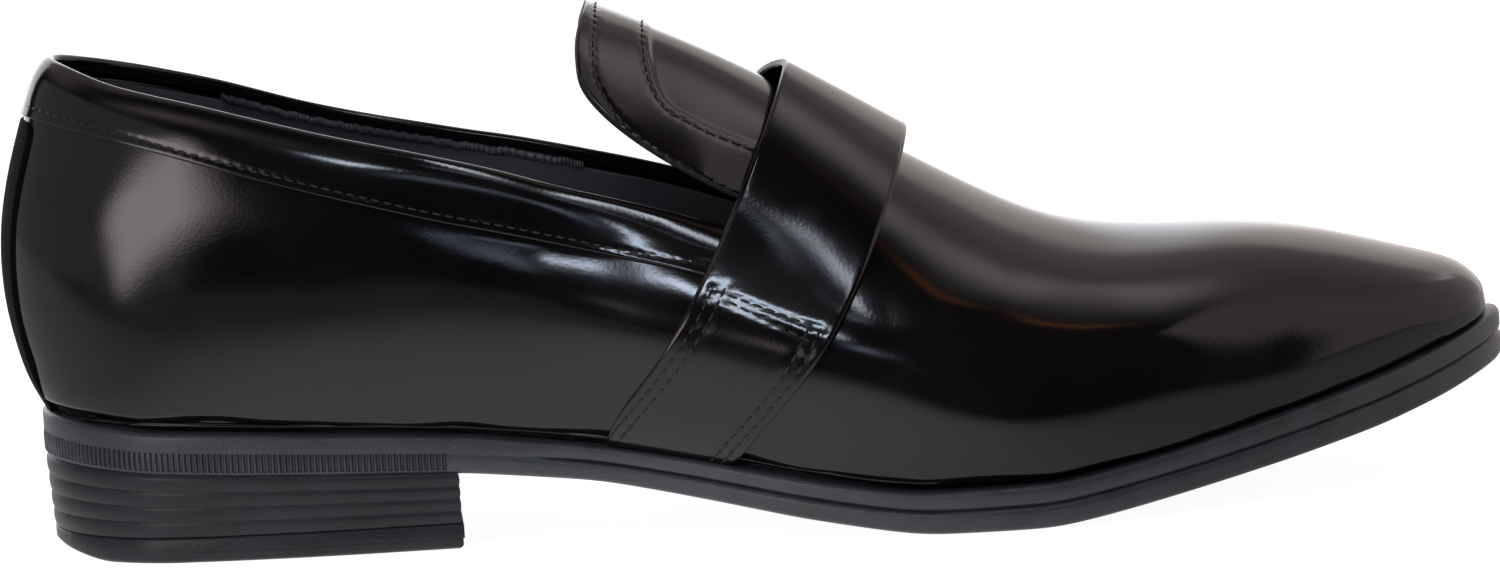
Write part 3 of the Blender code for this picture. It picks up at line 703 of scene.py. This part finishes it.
def press(piece, tree, points, pitch, depth, width):
    """Draws a piece in along a row that is sewn on its skin, most at the needle holes."""
    steps = walk(tree, points, ROW_STEP)
    row = nearest_of([spot for spot, _, _ in steps])
    places, normals = surface(piece)
    span = (steps[1][0] - steps[0][0]).length
    for i, place in enumerate(places):
        _, index, far = row.find(place)
        if far < PRESS_REACH * width:
            way = (Vector(place) - steps[index][0]).dot(steps[index][1])
            across = math.sqrt(max(far * far - way * way, 0.0))
            swing = math.cos(2 * math.pi * ((index + 0.5) * span + way) / pitch)
            hole = 1 - HOLE_SHARE + HOLE_SHARE * swing
            inward = steps[index][2] * -1
            if Vector(normals[i]).dot(inward) < BACK_FACE:
                places[i] += np.array(inward) * depth * hole * math.exp(-((across / width) ** 2))
    reshape(piece, places)


tongue = cad_copy("tongue", "tongue_leather", 1.0)
tongue.data.materials.append(CALF)
tongue.data.materials.append(RAW_END)
tongue_rim = {f.index for f in tongue.data.polygons if narrowest(tongue, f) < TONGUE_EDGE}
for face in tongue.data.polygons:
    face.material_index = 1 if face.index in tongue_rim else 0
square_edges(tongue, lambda f: f.index in tongue_rim, TONGUE_CRISP)
edge_tree = nearest_of([tongue.data.polygons[index].center for index in tongue_rim])
for vertex in tongue.data.vertices:
    near = max(0.0, 1 - edge_tree.find(vertex.co)[2] / FLARE_REACH)
    side = min(1.0, abs(vertex.co.y) / FLARE_ASIDE)
    free = ease((FLARE_FADE[1] - stations(vertex.co)) / (FLARE_FADE[1] - FLARE_FADE[0]))
    aside = FLARE * near**2 * side * free
    vertex.co.y += math.copysign(aside, vertex.co.y)
    vertex.co.z += FLARE_RISE * aside
round_off(tongue, 3)
tongue_skin = skin(tongue)
tongue_rows = []
for line in (TONGUE_ROW_1, TONGUE_ROW_2):
    near_half = drape(tongue_skin, line, -1)
    far_half = drape(tongue_skin, line, 1)
    crest = cross_over(tongue_skin, near_half[-1], far_half[-1])
    tongue_rows.append(near_half + crest + far_half[::-1])
guide = walk(tongue_skin, tongue_rows[1], ROW_STEP)
guide_tree = nearest_of([spot for spot, _, _ in guide])
places, normals = surface(tongue)
for i, place in enumerate(places):
    _, index, far = guide_tree.find(place)
    spot, way, normal = guide[index]
    offset = Vector(place) - spot
    if Vector(normals[i]).dot(normal) > FACING_FRONT and abs(offset.dot(way)) < FACING_REACH:
        past = offset.dot(normal.cross(way)) + FACING_MARGIN
        places[i] += np.array(normal) * FACING_STEP * ease(past / FACING_RAMP + 0.5)
reshape(tongue, places)
tongue_skin = skin(tongue)
for row in tongue_rows:
    press(tongue, tongue_skin, row, TONGUE_PITCH, *TONGUE_PRESS)
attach(tongue, "root")
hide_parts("tongue")

# Strap: one band of leather over the vamp, lasted under the sole at both ends. A double row of
# stitches follows its edges up from the sole and crosses it, and above that it bridges freely.
STRAP_REAR = ((135.6, 51.0), (131.9, 44.6), (128.0, 38.8), (123.8, 32.4), (119.2, 26.2), (114.6, 20.4))
STRAP_FRONT = ((161.0, 42.6), (157.8, 36.8), (154.4, 31.4), (150.4, 25.8), (146.0, 20.2), (141.0, 14.2))
STRAP_SKEW = 4.5 * MM  # its inner half runs back from square
SKEW_ASIDE = 18.0 * MM  # from the middle line, where that is whole
SKEW_LIFT = (30.0 * MM, 20.0 * MM)  # above the welt: where it starts, over what height
SKEW_RISE = 0.3  # share by which the strap then lies higher
STRAP_LEAN = (2.2, 28.0)  # mm that its outer foot runs back, mm above the welt where that starts
FOOT_TUCK = (2.2 * MM, 4.2 * MM)  # down and in, behind the welt
FOOT_REACH = 6.0 * MM
STRAP_EDGE = 1.9 * MM  # narrower faces are its cut edge
STRAP_CRISP = 0.8
STRAP_PITCH = 2.7 * MM  # of its stitches
STRAP_PRESS = (0.11 * MM, 0.6 * MM)
EDGE_ROWS = (2.0, 4.2)  # mm in from the strap's edges
EDGE_SLANT = 1.14  # the edges slant, so a row lies further along than in
CROSS_RISE = 1.5  # mm


def foot_lean(lift):
    """How far back the strap's outer side runs towards its foot, for a height above the welt."""
    return STRAP_LEAN[0] * MM * ease(1 - lift / (STRAP_LEAN[1] * MM))


def lean_row(line):
    """A row of (station, height) mm that follows the strap's outer side."""
    return [(s - foot_lean((h - look_up(WELT_TOP, s)) * MM) / MM, h) for s, h in line]


strap = cad_copy("strap", "strap_leather", 1.0)
strap.data.materials.append(CALF)
strap.data.materials.append(CUT_EDGE)
strap_rim = {f.index for f in strap.data.polygons if narrowest(strap, f) < STRAP_EDGE}
for face in strap.data.polygons:
    face.material_index = 1 if face.index in strap_rim else 0
square_edges(strap, lambda f: f.index in strap_rim, STRAP_CRISP)
places = surface(strap)[0]
foot = ease(1 - welt_lift(places) / FOOT_REACH)
places[:, 2] -= foot * FOOT_TUCK[0]
places[:, 1] -= np.sign(places[:, 1]) * foot * FOOT_TUCK[1]
skew = ease(places[:, 1] / SKEW_ASIDE) * ease((welt_lift(places) - SKEW_LIFT[0]) / SKEW_LIFT[1])
places[:, 0] -= STRAP_SKEW * skew + foot_lean(welt_lift(places)) * (places[:, 1] < 0)
places[:, 2] += SKEW_RISE * STRAP_SKEW * skew
reshape(strap, places)
round_off(strap, 3)
reshape(strap, swell(surface(strap)[0]))
strap_skin = skin(strap)
strap_rows = []
for side in (-1, 1):
    for inset in EDGE_ROWS:
        rear = [(s + inset * EDGE_SLANT, h) for s, h in STRAP_REAR]
        front = [(s - inset * EDGE_SLANT, h) for s, h in STRAP_FRONT]
        across = [(s, h - inset + CROSS_RISE) for s, h in (rear[0], front[0])]
        if side < 0:
            rear, front = lean_row(rear), lean_row(front)
        strap_rows += [drape(strap_skin, line, side) for line in (rear, front, across)]
for row in strap_rows:
    press(strap, strap_skin, row, STRAP_PITCH, *STRAP_PRESS)
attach(strap, "root")
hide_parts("strap")

# Stitches: waxed black polyester thread, one row on the collar strip, two on the tongue, and double rows
# on the strap. Each stitch is a short bead that dips into its needle holes.
STITCH_STAND = 0.08 * MM
COLLAR_STITCH = (1.9 * MM, 0.5 * MM)  # length and thickness
TONGUE_STITCH = (2.1 * MM, 0.5 * MM)
STRAP_STITCH = (2.2 * MM, 0.62 * MM)
COLLAR_PITCH = 2.5 * MM
COLLAR_PRESS = (0.1 * MM, 0.6 * MM)
COLLAR_ROW = 1.7  # mm above the strip's edge
COLLAR_ROW_END = 145  # station, mm

# Waxed thread: black with a sharp glint along each stitch.
THREAD, tree, shader, place = new_material("waxed_thread", "#18181b", 0.35)
ply = add_node(tree, "ShaderNodeTexNoise", Vector=place, Scale=1 / (0.25 * MM), Detail=2.0)
bump = add_node(tree, "ShaderNodeBump", Height=ply.outputs["Fac"], Distance=0.05 * MM, Strength=0.6)
tree.links.new(bump.outputs["Normal"], shader.inputs["Normal"])


def sew(name, piece, rows, pitch, length, thickness):
    """Sews rows of points on a leather piece with copies of one stitch."""
    bpy.ops.object.select_all(action="DESELECT")
    bpy.ops.mesh.primitive_uv_sphere_add(segments=8, ring_count=5, radius=0.5)
    stitch = bpy.context.object
    stitch.data.transform(Matrix.Rotation(math.pi / 2, 4, "Y"))
    stitch.data.transform(Matrix.Diagonal((length, thickness, thickness, 1.0)))
    sewn = bmesh.new()
    tree = skin(piece)
    for points in rows:
        for spot, way, normal in walk(tree, points, pitch):
            aside = normal.cross(way).normalized()
            turn = Matrix((way, aside, way.cross(aside))).transposed().to_4x4()
            copy = stitch.data.copy()
            copy.transform(Matrix.Translation(spot + normal * STITCH_STAND) @ turn)
            sewn.from_mesh(copy)
            bpy.data.meshes.remove(copy)
    bpy.data.objects.remove(stitch)
    data = bpy.data.meshes.new(name)
    sewn.to_mesh(data)
    sewn.free()
    row = bpy.data.objects.new(name, data)
    bpy.context.scene.collection.objects.link(row)
    data.materials.append(THREAD)
    data.shade_smooth()
    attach(row, "root")


strip_skin = skin(strip)
collar_row = [(s, h + COLLAR_ROW) for s, h in STRIP_EDGE if 0 < s < COLLAR_ROW_END]
collar_row = drape(strip_skin, collar_row, -1)[::-1] + drape(strip_skin, collar_row, 1)
press(strip, strip_skin, collar_row, COLLAR_PITCH, *COLLAR_PRESS)
sew("collar_stitches", strip, [collar_row], COLLAR_PITCH, *COLLAR_STITCH)
sew("tongue_stitches", tongue, tongue_rows, TONGUE_PITCH, *TONGUE_STITCH)
sew("strap_stitches", strap, strap_rows, STRAP_PITCH, *STRAP_STITCH)

# Unit sole: welt and outsole moulded as one in black rubber, with a bevelled top edge, a groove between
# the layers from the waist to the toe, and a band of fine upright slots round the heel.
SOLE_LENGTH = 297.5  # mm
SOLE_TURNS = 64  # even turns at which the solid's outline is drawn
TURN_REACH = 0.05  # mm along the shoe within which its points belong to a turn
SOLE_CORNER = 50  # degrees
FINE_TURNS = 4000  # along one side, to measure it
TURN_STEP = 1e-4  # radians, to find the outline's direction
UNDERSIDE = (
    (0, 19.9), (10, 19.0), (22, 18.1), (40, 17.2), (85, 15.4), (113, 12.2), (133, 8), (152, 3.9),
    (168, 1.2), (176.5, 0), (203, 0), (215, 1.9), (232, 5), (252, 8.8), (270, 12.6), (285, 16.8),
    (297.5, 21),
)  # station and height, mm
SOLE_PROFILE = (
    (0.0, -6.0, 0.0), (0.0, -0.8, 0.0), (0.015, -0.55, 0.0), (0.07, -0.1, 0.0), (0.12, 0.0, 0.0),
    (0.35, 0.02, 0.0), (0.40, 0.02, 0.2), (0.425, 0.02, 0.75), (0.445, 0.02, 0.9), (0.46, 0.02, 0.7),
    (0.475, 0.03, 0.45), (0.53, 0.1, 0.05), (0.6, 0.15, 0.0), (0.86, 0.1, 0.0), (0.88, 0.05, 0.0),
    (0.94, -0.3, 0.0), (0.98, -1.0, 0.0), (1.0, -2.4, 0.0), (1.0, -6.0, 0.0),
)  # share of the way down, mm out from the outline, mm that the groove cuts in
GROOVE_ALONG = ((92, 0.0), (112, 1.0), (185, 1.0), (235, 0.8), (297.5, 0.7))  # station, share
SLOT_END = 83  # station, mm
SLOT_STEP = 0.3  # mm, half a slot or half a rib
SLOT_DEPTH = 0.5  # mm
SLOT_SHARE = (0.45, 0.87)  # shares of the way down between which the slots are cut
SOLE_STEP = 1.4  # mm

# Moulded rubber: charcoal with a blue cast, dull, with a fine spark-eroded grain whose crests glitter.
RUBBER, tree, shader, place = new_material("moulded_rubber", "#2c3034", 0.4)
shader.inputs["Coat Weight"].default_value = 0.28
shader.inputs["Coat Roughness"].default_value = 0.22
cloud = add_node(tree, "ShaderNodeTexNoise", Vector=place, Scale=1 / (9 * MM), Detail=4.0)
tone = add_node(tree, "ShaderNodeValToRGB", Fac=cloud.outputs["Fac"])
tone.color_ramp.elements[0].position = 0.3
tone.color_ramp.elements[0].color = colour("#272b2f")
tone.color_ramp.elements[1].position = 0.75
tone.color_ramp.elements[1].color = colour("#363b41")
tree.links.new(tone.outputs["Color"], shader.inputs["Base Color"])
grain = add_node(tree, "ShaderNodeTexNoise", Vector=place, Scale=1 / (0.5 * MM), Detail=3.0)
bump = add_node(tree, "ShaderNodeBump", Height=grain.outputs["Fac"], Distance=0.16 * MM, Strength=0.9)
tree.links.new(bump.outputs["Normal"], shader.inputs["Normal"])

# The rubber of the heel block and the top lift: the same, darker. This is painted shade on the lowest parts,
# which the light from above reaches less.
SHADED_HEEL_RUBBER = RUBBER.copy()
SHADED_HEEL_RUBBER.name = "heel_rubber_painted_shade"
for node in SHADED_HEEL_RUBBER.node_tree.nodes:
    if node.bl_idname == "ShaderNodeValToRGB":
        node.color_ramp.elements[0].color = colour("#15181b")
        node.color_ramp.elements[1].color = colour("#20252a")
    elif node.bl_idname == "ShaderNodeBsdfPrincipled":
        node.inputs["Coat Weight"].default_value = 0.12
        node.inputs["Specular IOR Level"].default_value = 0.3

welt_points = np.array([v.co for v in frame["nodes"]["welt"].data.vertices])
breadths = []
for i in range(SOLE_TURNS):
    here = (1 - math.cos(2 * math.pi * i / SOLE_TURNS)) / 2 * SOLE_LENGTH
    level = welt_points[np.abs(stations(welt_points) - here) < TURN_REACH]
    breadths.append(level[:, 1].min() if i < SOLE_TURNS / 2 else level[:, 1].max())
waves = np.fft.rfft(breadths) / SOLE_TURNS


def sole_outline(turn, out):
    """Places on the sole's outline, moved out. A turn runs from the heel, 0, to the toe, pi, and back."""

    def point(at):
        """Places at turns on the outline itself."""
        shares = np.exp(1j * np.outer(at, np.arange(len(waves)))) * waves
        y = np.real(shares[:, 0] + 2 * shares[:, 1:-1].sum(1) + shares[:, -1])
        return np.column_stack((((1 - np.cos(at)) / 2 * SOLE_LENGTH - HEEL_CENTRE) * MM, y))

    way = unit(point(turn + TURN_STEP) - point(turn - TURN_STEP))
    return point(turn) + np.column_stack((way[:, 1], -way[:, 0])) * np.asarray(out)[..., None] * MM


def finish_rubber(piece, rubber, angle, *nodes):
    piece.data.materials.append(rubber)
    select_only(piece)
    bpy.ops.object.shade_smooth_by_angle(angle=math.radians(angle))
    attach(piece, "root")
    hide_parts(*nodes)


fine_turns = np.linspace(0, math.pi, FINE_TURNS)
edge = sole_outline(fine_turns, np.zeros(FINE_TURNS))
run = np.concatenate(([0.0], np.cumsum(np.linalg.norm(np.diff(edge, axis=0), axis=1)))) / MM
slot_run = np.interp(SLOT_END, stations(edge), run)
steps = np.concatenate(
    (np.arange(0.5 * SLOT_STEP, slot_run, SLOT_STEP), np.arange(slot_run, run[-1] - 0.5, SOLE_STEP))
)
half = np.interp(steps, run, fine_turns)
turns = np.concatenate(([0.0], half, [math.pi], 2 * math.pi - half[::-1]))
in_slot = (np.arange(len(half)) // 2) % 2 * (steps < slot_run)
in_slot = np.concatenate(([0], in_slot, [0], in_slot[::-1]))
level = sole_outline(turns, np.zeros(len(turns)))
top = settle(look_up(WELT_TOP, stations(level)), passes=12)
bottom = settle(look_up(UNDERSIDE, stations(level)), passes=12)
groove = ease(look_up(GROOVE_ALONG, stations(level)))
rings = []
for share, stand, cut in SOLE_PROFILE:
    slotted = SLOT_SHARE[0] < share < SLOT_SHARE[1]
    out = stand - cut * groove - SLOT_DEPTH * in_slot * slotted
    rings.append(np.column_stack((sole_outline(turns, out), (top + share * (bottom - top)) * MM)))
finish_rubber(stack("unit_sole", rings), RUBBER, SOLE_CORNER, "welt", "outsole")

# Heel: a moulded rubber block whose sides imitate a stack of leather lifts. It is glued and nailed
# under the slotted band of the sole. Sizes are in mm.
HEEL_BREAST = 85.0  # station
BREAST_SKEW = 3.6  # the breast lies further back on the inner side
HEEL_LAYERS = 4
LAYER_PARTS = (0.0, 0.08, 0.2, 0.38, 0.6, 0.8, 0.92)
LAYER_DIP = 0.3
DIP_CURVE = 1.5
HEEL_TAPER = 0.9
HEEL_HEAD = (0.6, 0.4)  # its top is set in, and reaches up into the sole
HEEL_POINTS = 96  # round each side
HEEL_CORNER = 40  # degrees
LIFT_HEIGHT = 5.4


def heel_ring(breast, out, height):
    """A level of the heel round to its breast. out and height are functions that give mm for stations."""
    halves = []
    for end in (breast, breast - BREAST_SKEW):
        reach = np.interp(end, stations(edge), run)
        halves.append(np.interp(np.linspace(0, reach, HEEL_POINTS)[1:], run, fine_turns))
    turn = np.concatenate(([0.0], halves[0], 2 * math.pi - halves[1][::-1]))
    at = stations(sole_outline(turn, np.zeros(len(turn))))
    return np.column_stack((sole_outline(turn, out(at)), height(at) * MM))


rings = []
for layer in range(HEEL_LAYERS):
    for part in LAYER_PARTS:
        share = (layer + part) / HEEL_LAYERS
        dip = LAYER_DIP * (1 - math.sin(math.pi * part)) ** DIP_CURVE
        rings.append(
            heel_ring(
                HEEL_BREAST - dip,
                lambda at: (-dip - HEEL_TAPER * (1 - share)) * np.ones(len(at)),
                lambda at: LIFT_HEIGHT + share * (look_up(UNDERSIDE, at) - LIFT_HEIGHT),
            )
        )
rings.append(
    heel_ring(
        HEEL_BREAST - HEEL_HEAD[0],
        lambda at: np.full(len(at), -HEEL_HEAD[0]),
        lambda at: look_up(UNDERSIDE, at) + HEEL_HEAD[1],
    )
)
finish_rubber(stack("heel_block", rings), SHADED_HEEL_RUBBER, HEEL_CORNER, "heel")

# Top lift: the rubber tread nailed under the heel, bevelled round at the back, with a shallow step
# along its sides. Sizes are in mm.
LIFT_SET_IN = 1.0
LIFT_BREAST = 0.3  # past the heel's breast
LIFT_ROUNDING = (3.0, 13.0)  # up at the back, station where it ends
ROUNDING_CURVE = 1.7
LIFT_STEP = (27, 31)  # stations between which the step begins
LIFT_ROWS = (
    (0.0, -2.0, 0.0), (0.1, -0.9, 1.0), (0.5, -0.25, 1.0), (1.0, 0.0, 1.0), (2.2, 0.0, 1.0), (2.4, 0.0, 0.0),
    (4.8, 0.0, 0.0), (5.2, -0.25, 0.0), (5.4, -0.8, 0.0),
)  # height, mm out, share of the step
STEP_DEPTH = 0.3


def step_share(at):
    """Share of the step along the lift's sides, for stations."""
    return ease((at - LIFT_STEP[0]) / (LIFT_STEP[1] - LIFT_STEP[0]))


def back_rounding(at):
    """How far the lift's tread rises towards the back, in mm, for stations."""
    return LIFT_ROUNDING[0] * np.clip(1 - at / LIFT_ROUNDING[1], 0, 1) ** ROUNDING_CURVE


rings = []
for height, stand, share in LIFT_ROWS:
    rings.append(
        heel_ring(
            HEEL_BREAST + LIFT_BREAST + stand - STEP_DEPTH * share,
            lambda at: stand - LIFT_SET_IN - STEP_DEPTH * share * step_share(at),
            lambda at: height + back_rounding(at) * (1 - height / LIFT_HEIGHT),
        )
    )
finish_rubber(stack("top_lift_rubber", rings), SHADED_HEEL_RUBBER, HEEL_CORNER, "top_lift")

# Stage: a white glowing table, a dark room in front of it, soft panels above, behind and at both
# sides, and the camera at the photograph's place, rolled so that the toe points a little up.
FLOOR_SIZE = 6.0  # m
bpy.ops.mesh.primitive_plane_add(size=1.0)
floor = bpy.context.object
floor.name = floor.data.name = "floor"
floor.data.transform(Matrix.Diagonal((FLOOR_SIZE, FLOOR_SIZE, 1.0, 1.0)))

# Matt white table top, lit from below: even white to the camera, and to the shoe's gloss a pool of light
# in front of it that fades towards the room and the toe.
material, tree, shader, place = new_material("white_table", "#9a9a9a", 0.9)
shader.inputs["Specular IOR Level"].default_value = 0.0
shader.inputs["Emission Color"].default_value = (1.0, 1.0, 1.0, 1.0)
spread = add_node(tree, "ShaderNodeSeparateXYZ", Vector=place)
near = add_node(
    tree, "ShaderNodeMapRange", {"interpolation_type": "SMOOTHSTEP"}, Value=spread.outputs["X"],
    From_Min=0.07, From_Max=0.24, To_Min=0.85, To_Max=0.28,
)
aside = add_node(
    tree, "ShaderNodeMapRange", {"interpolation_type": "SMOOTHSTEP"}, Value=spread.outputs["X"],
    From_Min=-0.13, From_Max=0.0, To_Min=0.35, To_Max=near.outputs["Result"],
)
pool = add_node(
    tree, "ShaderNodeMapRange", {"interpolation_type": "SMOOTHSTEP"}, Value=spread.outputs["Y"],
    From_Min=-0.42, From_Max=-0.05, To_Min=0.0, To_Max=aside.outputs["Result"],
)
seen = add_node(tree, "ShaderNodeLightPath")
glow = add_node(
    tree, "ShaderNodeMapRange", Value=seen.outputs["Is Camera Ray"],
    To_Min=pool.outputs["Result"], To_Max=0.95,
)
tree.links.new(glow.outputs["Result"], shader.inputs["Emission Strength"])
floor.data.materials.append(material)

# The room: white behind the shoe, and almost dark in its gloss.
world = bpy.data.worlds.new("dark_room")
bpy.context.scene.world = world
world.use_nodes = True
room = world.node_tree
seen = add_node(room, "ShaderNodeLightPath")
shade = add_node(room, "ShaderNodeMapRange", Value=seen.outputs["Is Camera Ray"], To_Min=0.015, To_Max=1.0)
room.nodes["Background"].inputs["Color"].default_value = (1.0, 1.0, 1.0, 1.0)
room.links.new(shade.outputs["Result"], room.nodes["Background"].inputs["Strength"])


def soft_panel(name, place, target, size, radiance, tint, soft=0.1, roll=0.0):
    """A glowing sheet that faces a point, out of the camera's sight. It fades over a share of its sides."""
    bpy.ops.mesh.primitive_plane_add(size=1.0)
    panel = bpy.context.object
    panel.name = panel.data.name = name
    way = Vector(target) - Vector(place)
    turn = way.to_track_quat("-Z", "Y").to_matrix().to_4x4()
    turn = turn @ Matrix.Rotation(math.radians(roll), 4, "Z")
    panel.data.transform(Matrix.Translation(place) @ turn @ Matrix.Diagonal((*size, 1.0, 1.0)))
    material, tree, shader, _ = new_material(name + "_glow", "#000000", 1.0)
    shader.inputs["Specular IOR Level"].default_value = 0.0
    shader.inputs["Emission Color"].default_value = colour(tint)
    shader.inputs["Emission Strength"].default_value = radiance
    sheet = add_node(tree, "ShaderNodeTexCoord").outputs["UV"]
    across = add_node(tree, "ShaderNodeSeparateXYZ", Vector=sheet)
    cover = 1.0
    for axis in "XY":
        inset = add_node(tree, "ShaderNodeMath", {"operation": "PINGPONG"})
        tree.links.new(across.outputs[axis], inset.inputs[0])
        inset.inputs[1].default_value = 0.5
        cover = add_node(
            tree, "ShaderNodeMapRange", {"interpolation_type": "SMOOTHSTEP"},
            Value=inset.outputs["Value"], From_Max=soft, To_Max=cover,
        ).outputs["Result"]
    tree.links.new(cover, shader.inputs["Alpha"])
    panel.data.materials.append(material)
    panel.visible_camera = False
    return panel


# Ceiling, walls, windows and lamps that the gloss mirrors, and last a key light that it doesn't.
soft_panel("ceiling", (-0.12, 0.6, 1.1), (-0.12, 0.6, 0.0), (3.2, 1.8), 0.46, "#ffeef0", 0.25)
soft_panel("right_wall", (1.3, 0.52, 0.95), (0.0, 0.52, 0.95), (2.88, 2.9), 0.68, "#ffeef0", 0.04)
soft_panel("back_window", (1.22, 1.1, 1.2), (0.2, 0.0, 0.3), (1.0, 1.0), 2.2, "#fff0f0", 0.5)
soft_panel("left_panel", (-0.75, -1.1, 0.36), (0.0, 0.0, 0.36), (1.0, 0.58), 4.5, "#fff0f3", 0.3, 25)
soft_panel("upper_left", (-0.37, -0.6, 0.83), (-0.01, -0.03, 0.09), (1.2, 0.5), 0.8, "#ffeef0", 0.5)
soft_panel("left_fill", (-1.9, -0.6, 0.6), (0.0, 0.0, 0.6), (5.2, 2.0), 0.35, "#f4f4ff")
soft_panel("backdrop", (-0.62, 1.6, 0.95), (-0.62, 0.0, 0.95), (2.2, 2.8), 2.0, "#f8faff")
soft_panel("back_corner", (0.95, 1.65, 0.95), (0.95, 0.0, 0.95), (1.5, 2.8), 1.1, "#fff4f0")
soft_panel("softbox", (0.272, 0.049, 0.378), (0.083, -0.02, 0.091), (0.24, 0.14), 1.5, "#fff4f2", 0.5)
soft_panel("window", (0.018, -0.47, 0.358), (0.07, 0.0, 0.06), (0.11, 0.05), 22.0, "#dceaff", 0.35)
soft_panel("tall_lamp", (0.18, -0.34, 0.64), (0.18, 0.0, 0.64), (0.035, 0.5), 16.0, "#e8f0ff", 0.3, -7.6)
soft_panel("low_lamp", (0.125, -0.34, 0.39), (0.1, 0.0, 0.06), (0.07, 0.03), 2.0, "#dceaff", 0.4)
soft_panel("haze", (0.085, -0.47, 0.27), (0.05, 0.0, 0.06), (0.12, 0.08), 2.2, "#cfe0ff", 0.5)
soft_panel("warm_lamp", (0.42, -0.22, 1.09), (0.42, -0.22, 0.0), (0.3, 0.06), 1.4, "#ff9a50", 0.4)
key = soft_panel("key", (-0.25, -0.55, 0.9), (0.1, 0.0, 0.0), (0.5, 0.5), 2.5, "#f4f8ff")
key.visible_glossy = False

# The camera: square to the shoe's side and a little above it, as far off as a photographer stands.
bpy.context.scene.view_settings.view_transform = "Standard"
ELEVATION = math.radians(7.8)
CAMERA_ROLL = math.radians(3.5)
DISTANCE = 1.5  # m
AIM = Vector((0.145165 - HEEL_CENTRE * MM, 0.0, 0.045422))  # what lies in the middle of the frame
PIXELS_PER_MM = 4.92
PHOTO_WIDTH = 1500  # pixels
SENSOR_WIDTH = 36.0  # mm
look = Vector((0.0, math.cos(ELEVATION), -math.sin(ELEVATION)))
level_right = Vector((1.0, 0.0, 0.0))
level_up = level_right.cross(look)
right = level_right * math.cos(CAMERA_ROLL) - level_up * math.sin(CAMERA_ROLL)
up = level_right * math.sin(CAMERA_ROLL) + level_up * math.cos(CAMERA_ROLL)
camera_data = bpy.data.cameras.new("camera")
camera_data.sensor_fit = "HORIZONTAL"
camera_data.sensor_width = SENSOR_WIDTH
camera_data.lens = SENSOR_WIDTH * PIXELS_PER_MM * DISTANCE / MM / PHOTO_WIDTH
camera_data.clip_end = 50.0
camera = bpy.data.objects.new("camera", camera_data)
bpy.context.scene.collection.objects.link(camera)
turned = Matrix((right, up, -look)).transposed().to_4x4()
camera.matrix_world = Matrix.Translation(AIM - look * DISTANCE) @ turned
bpy.context.scene.camera = camera
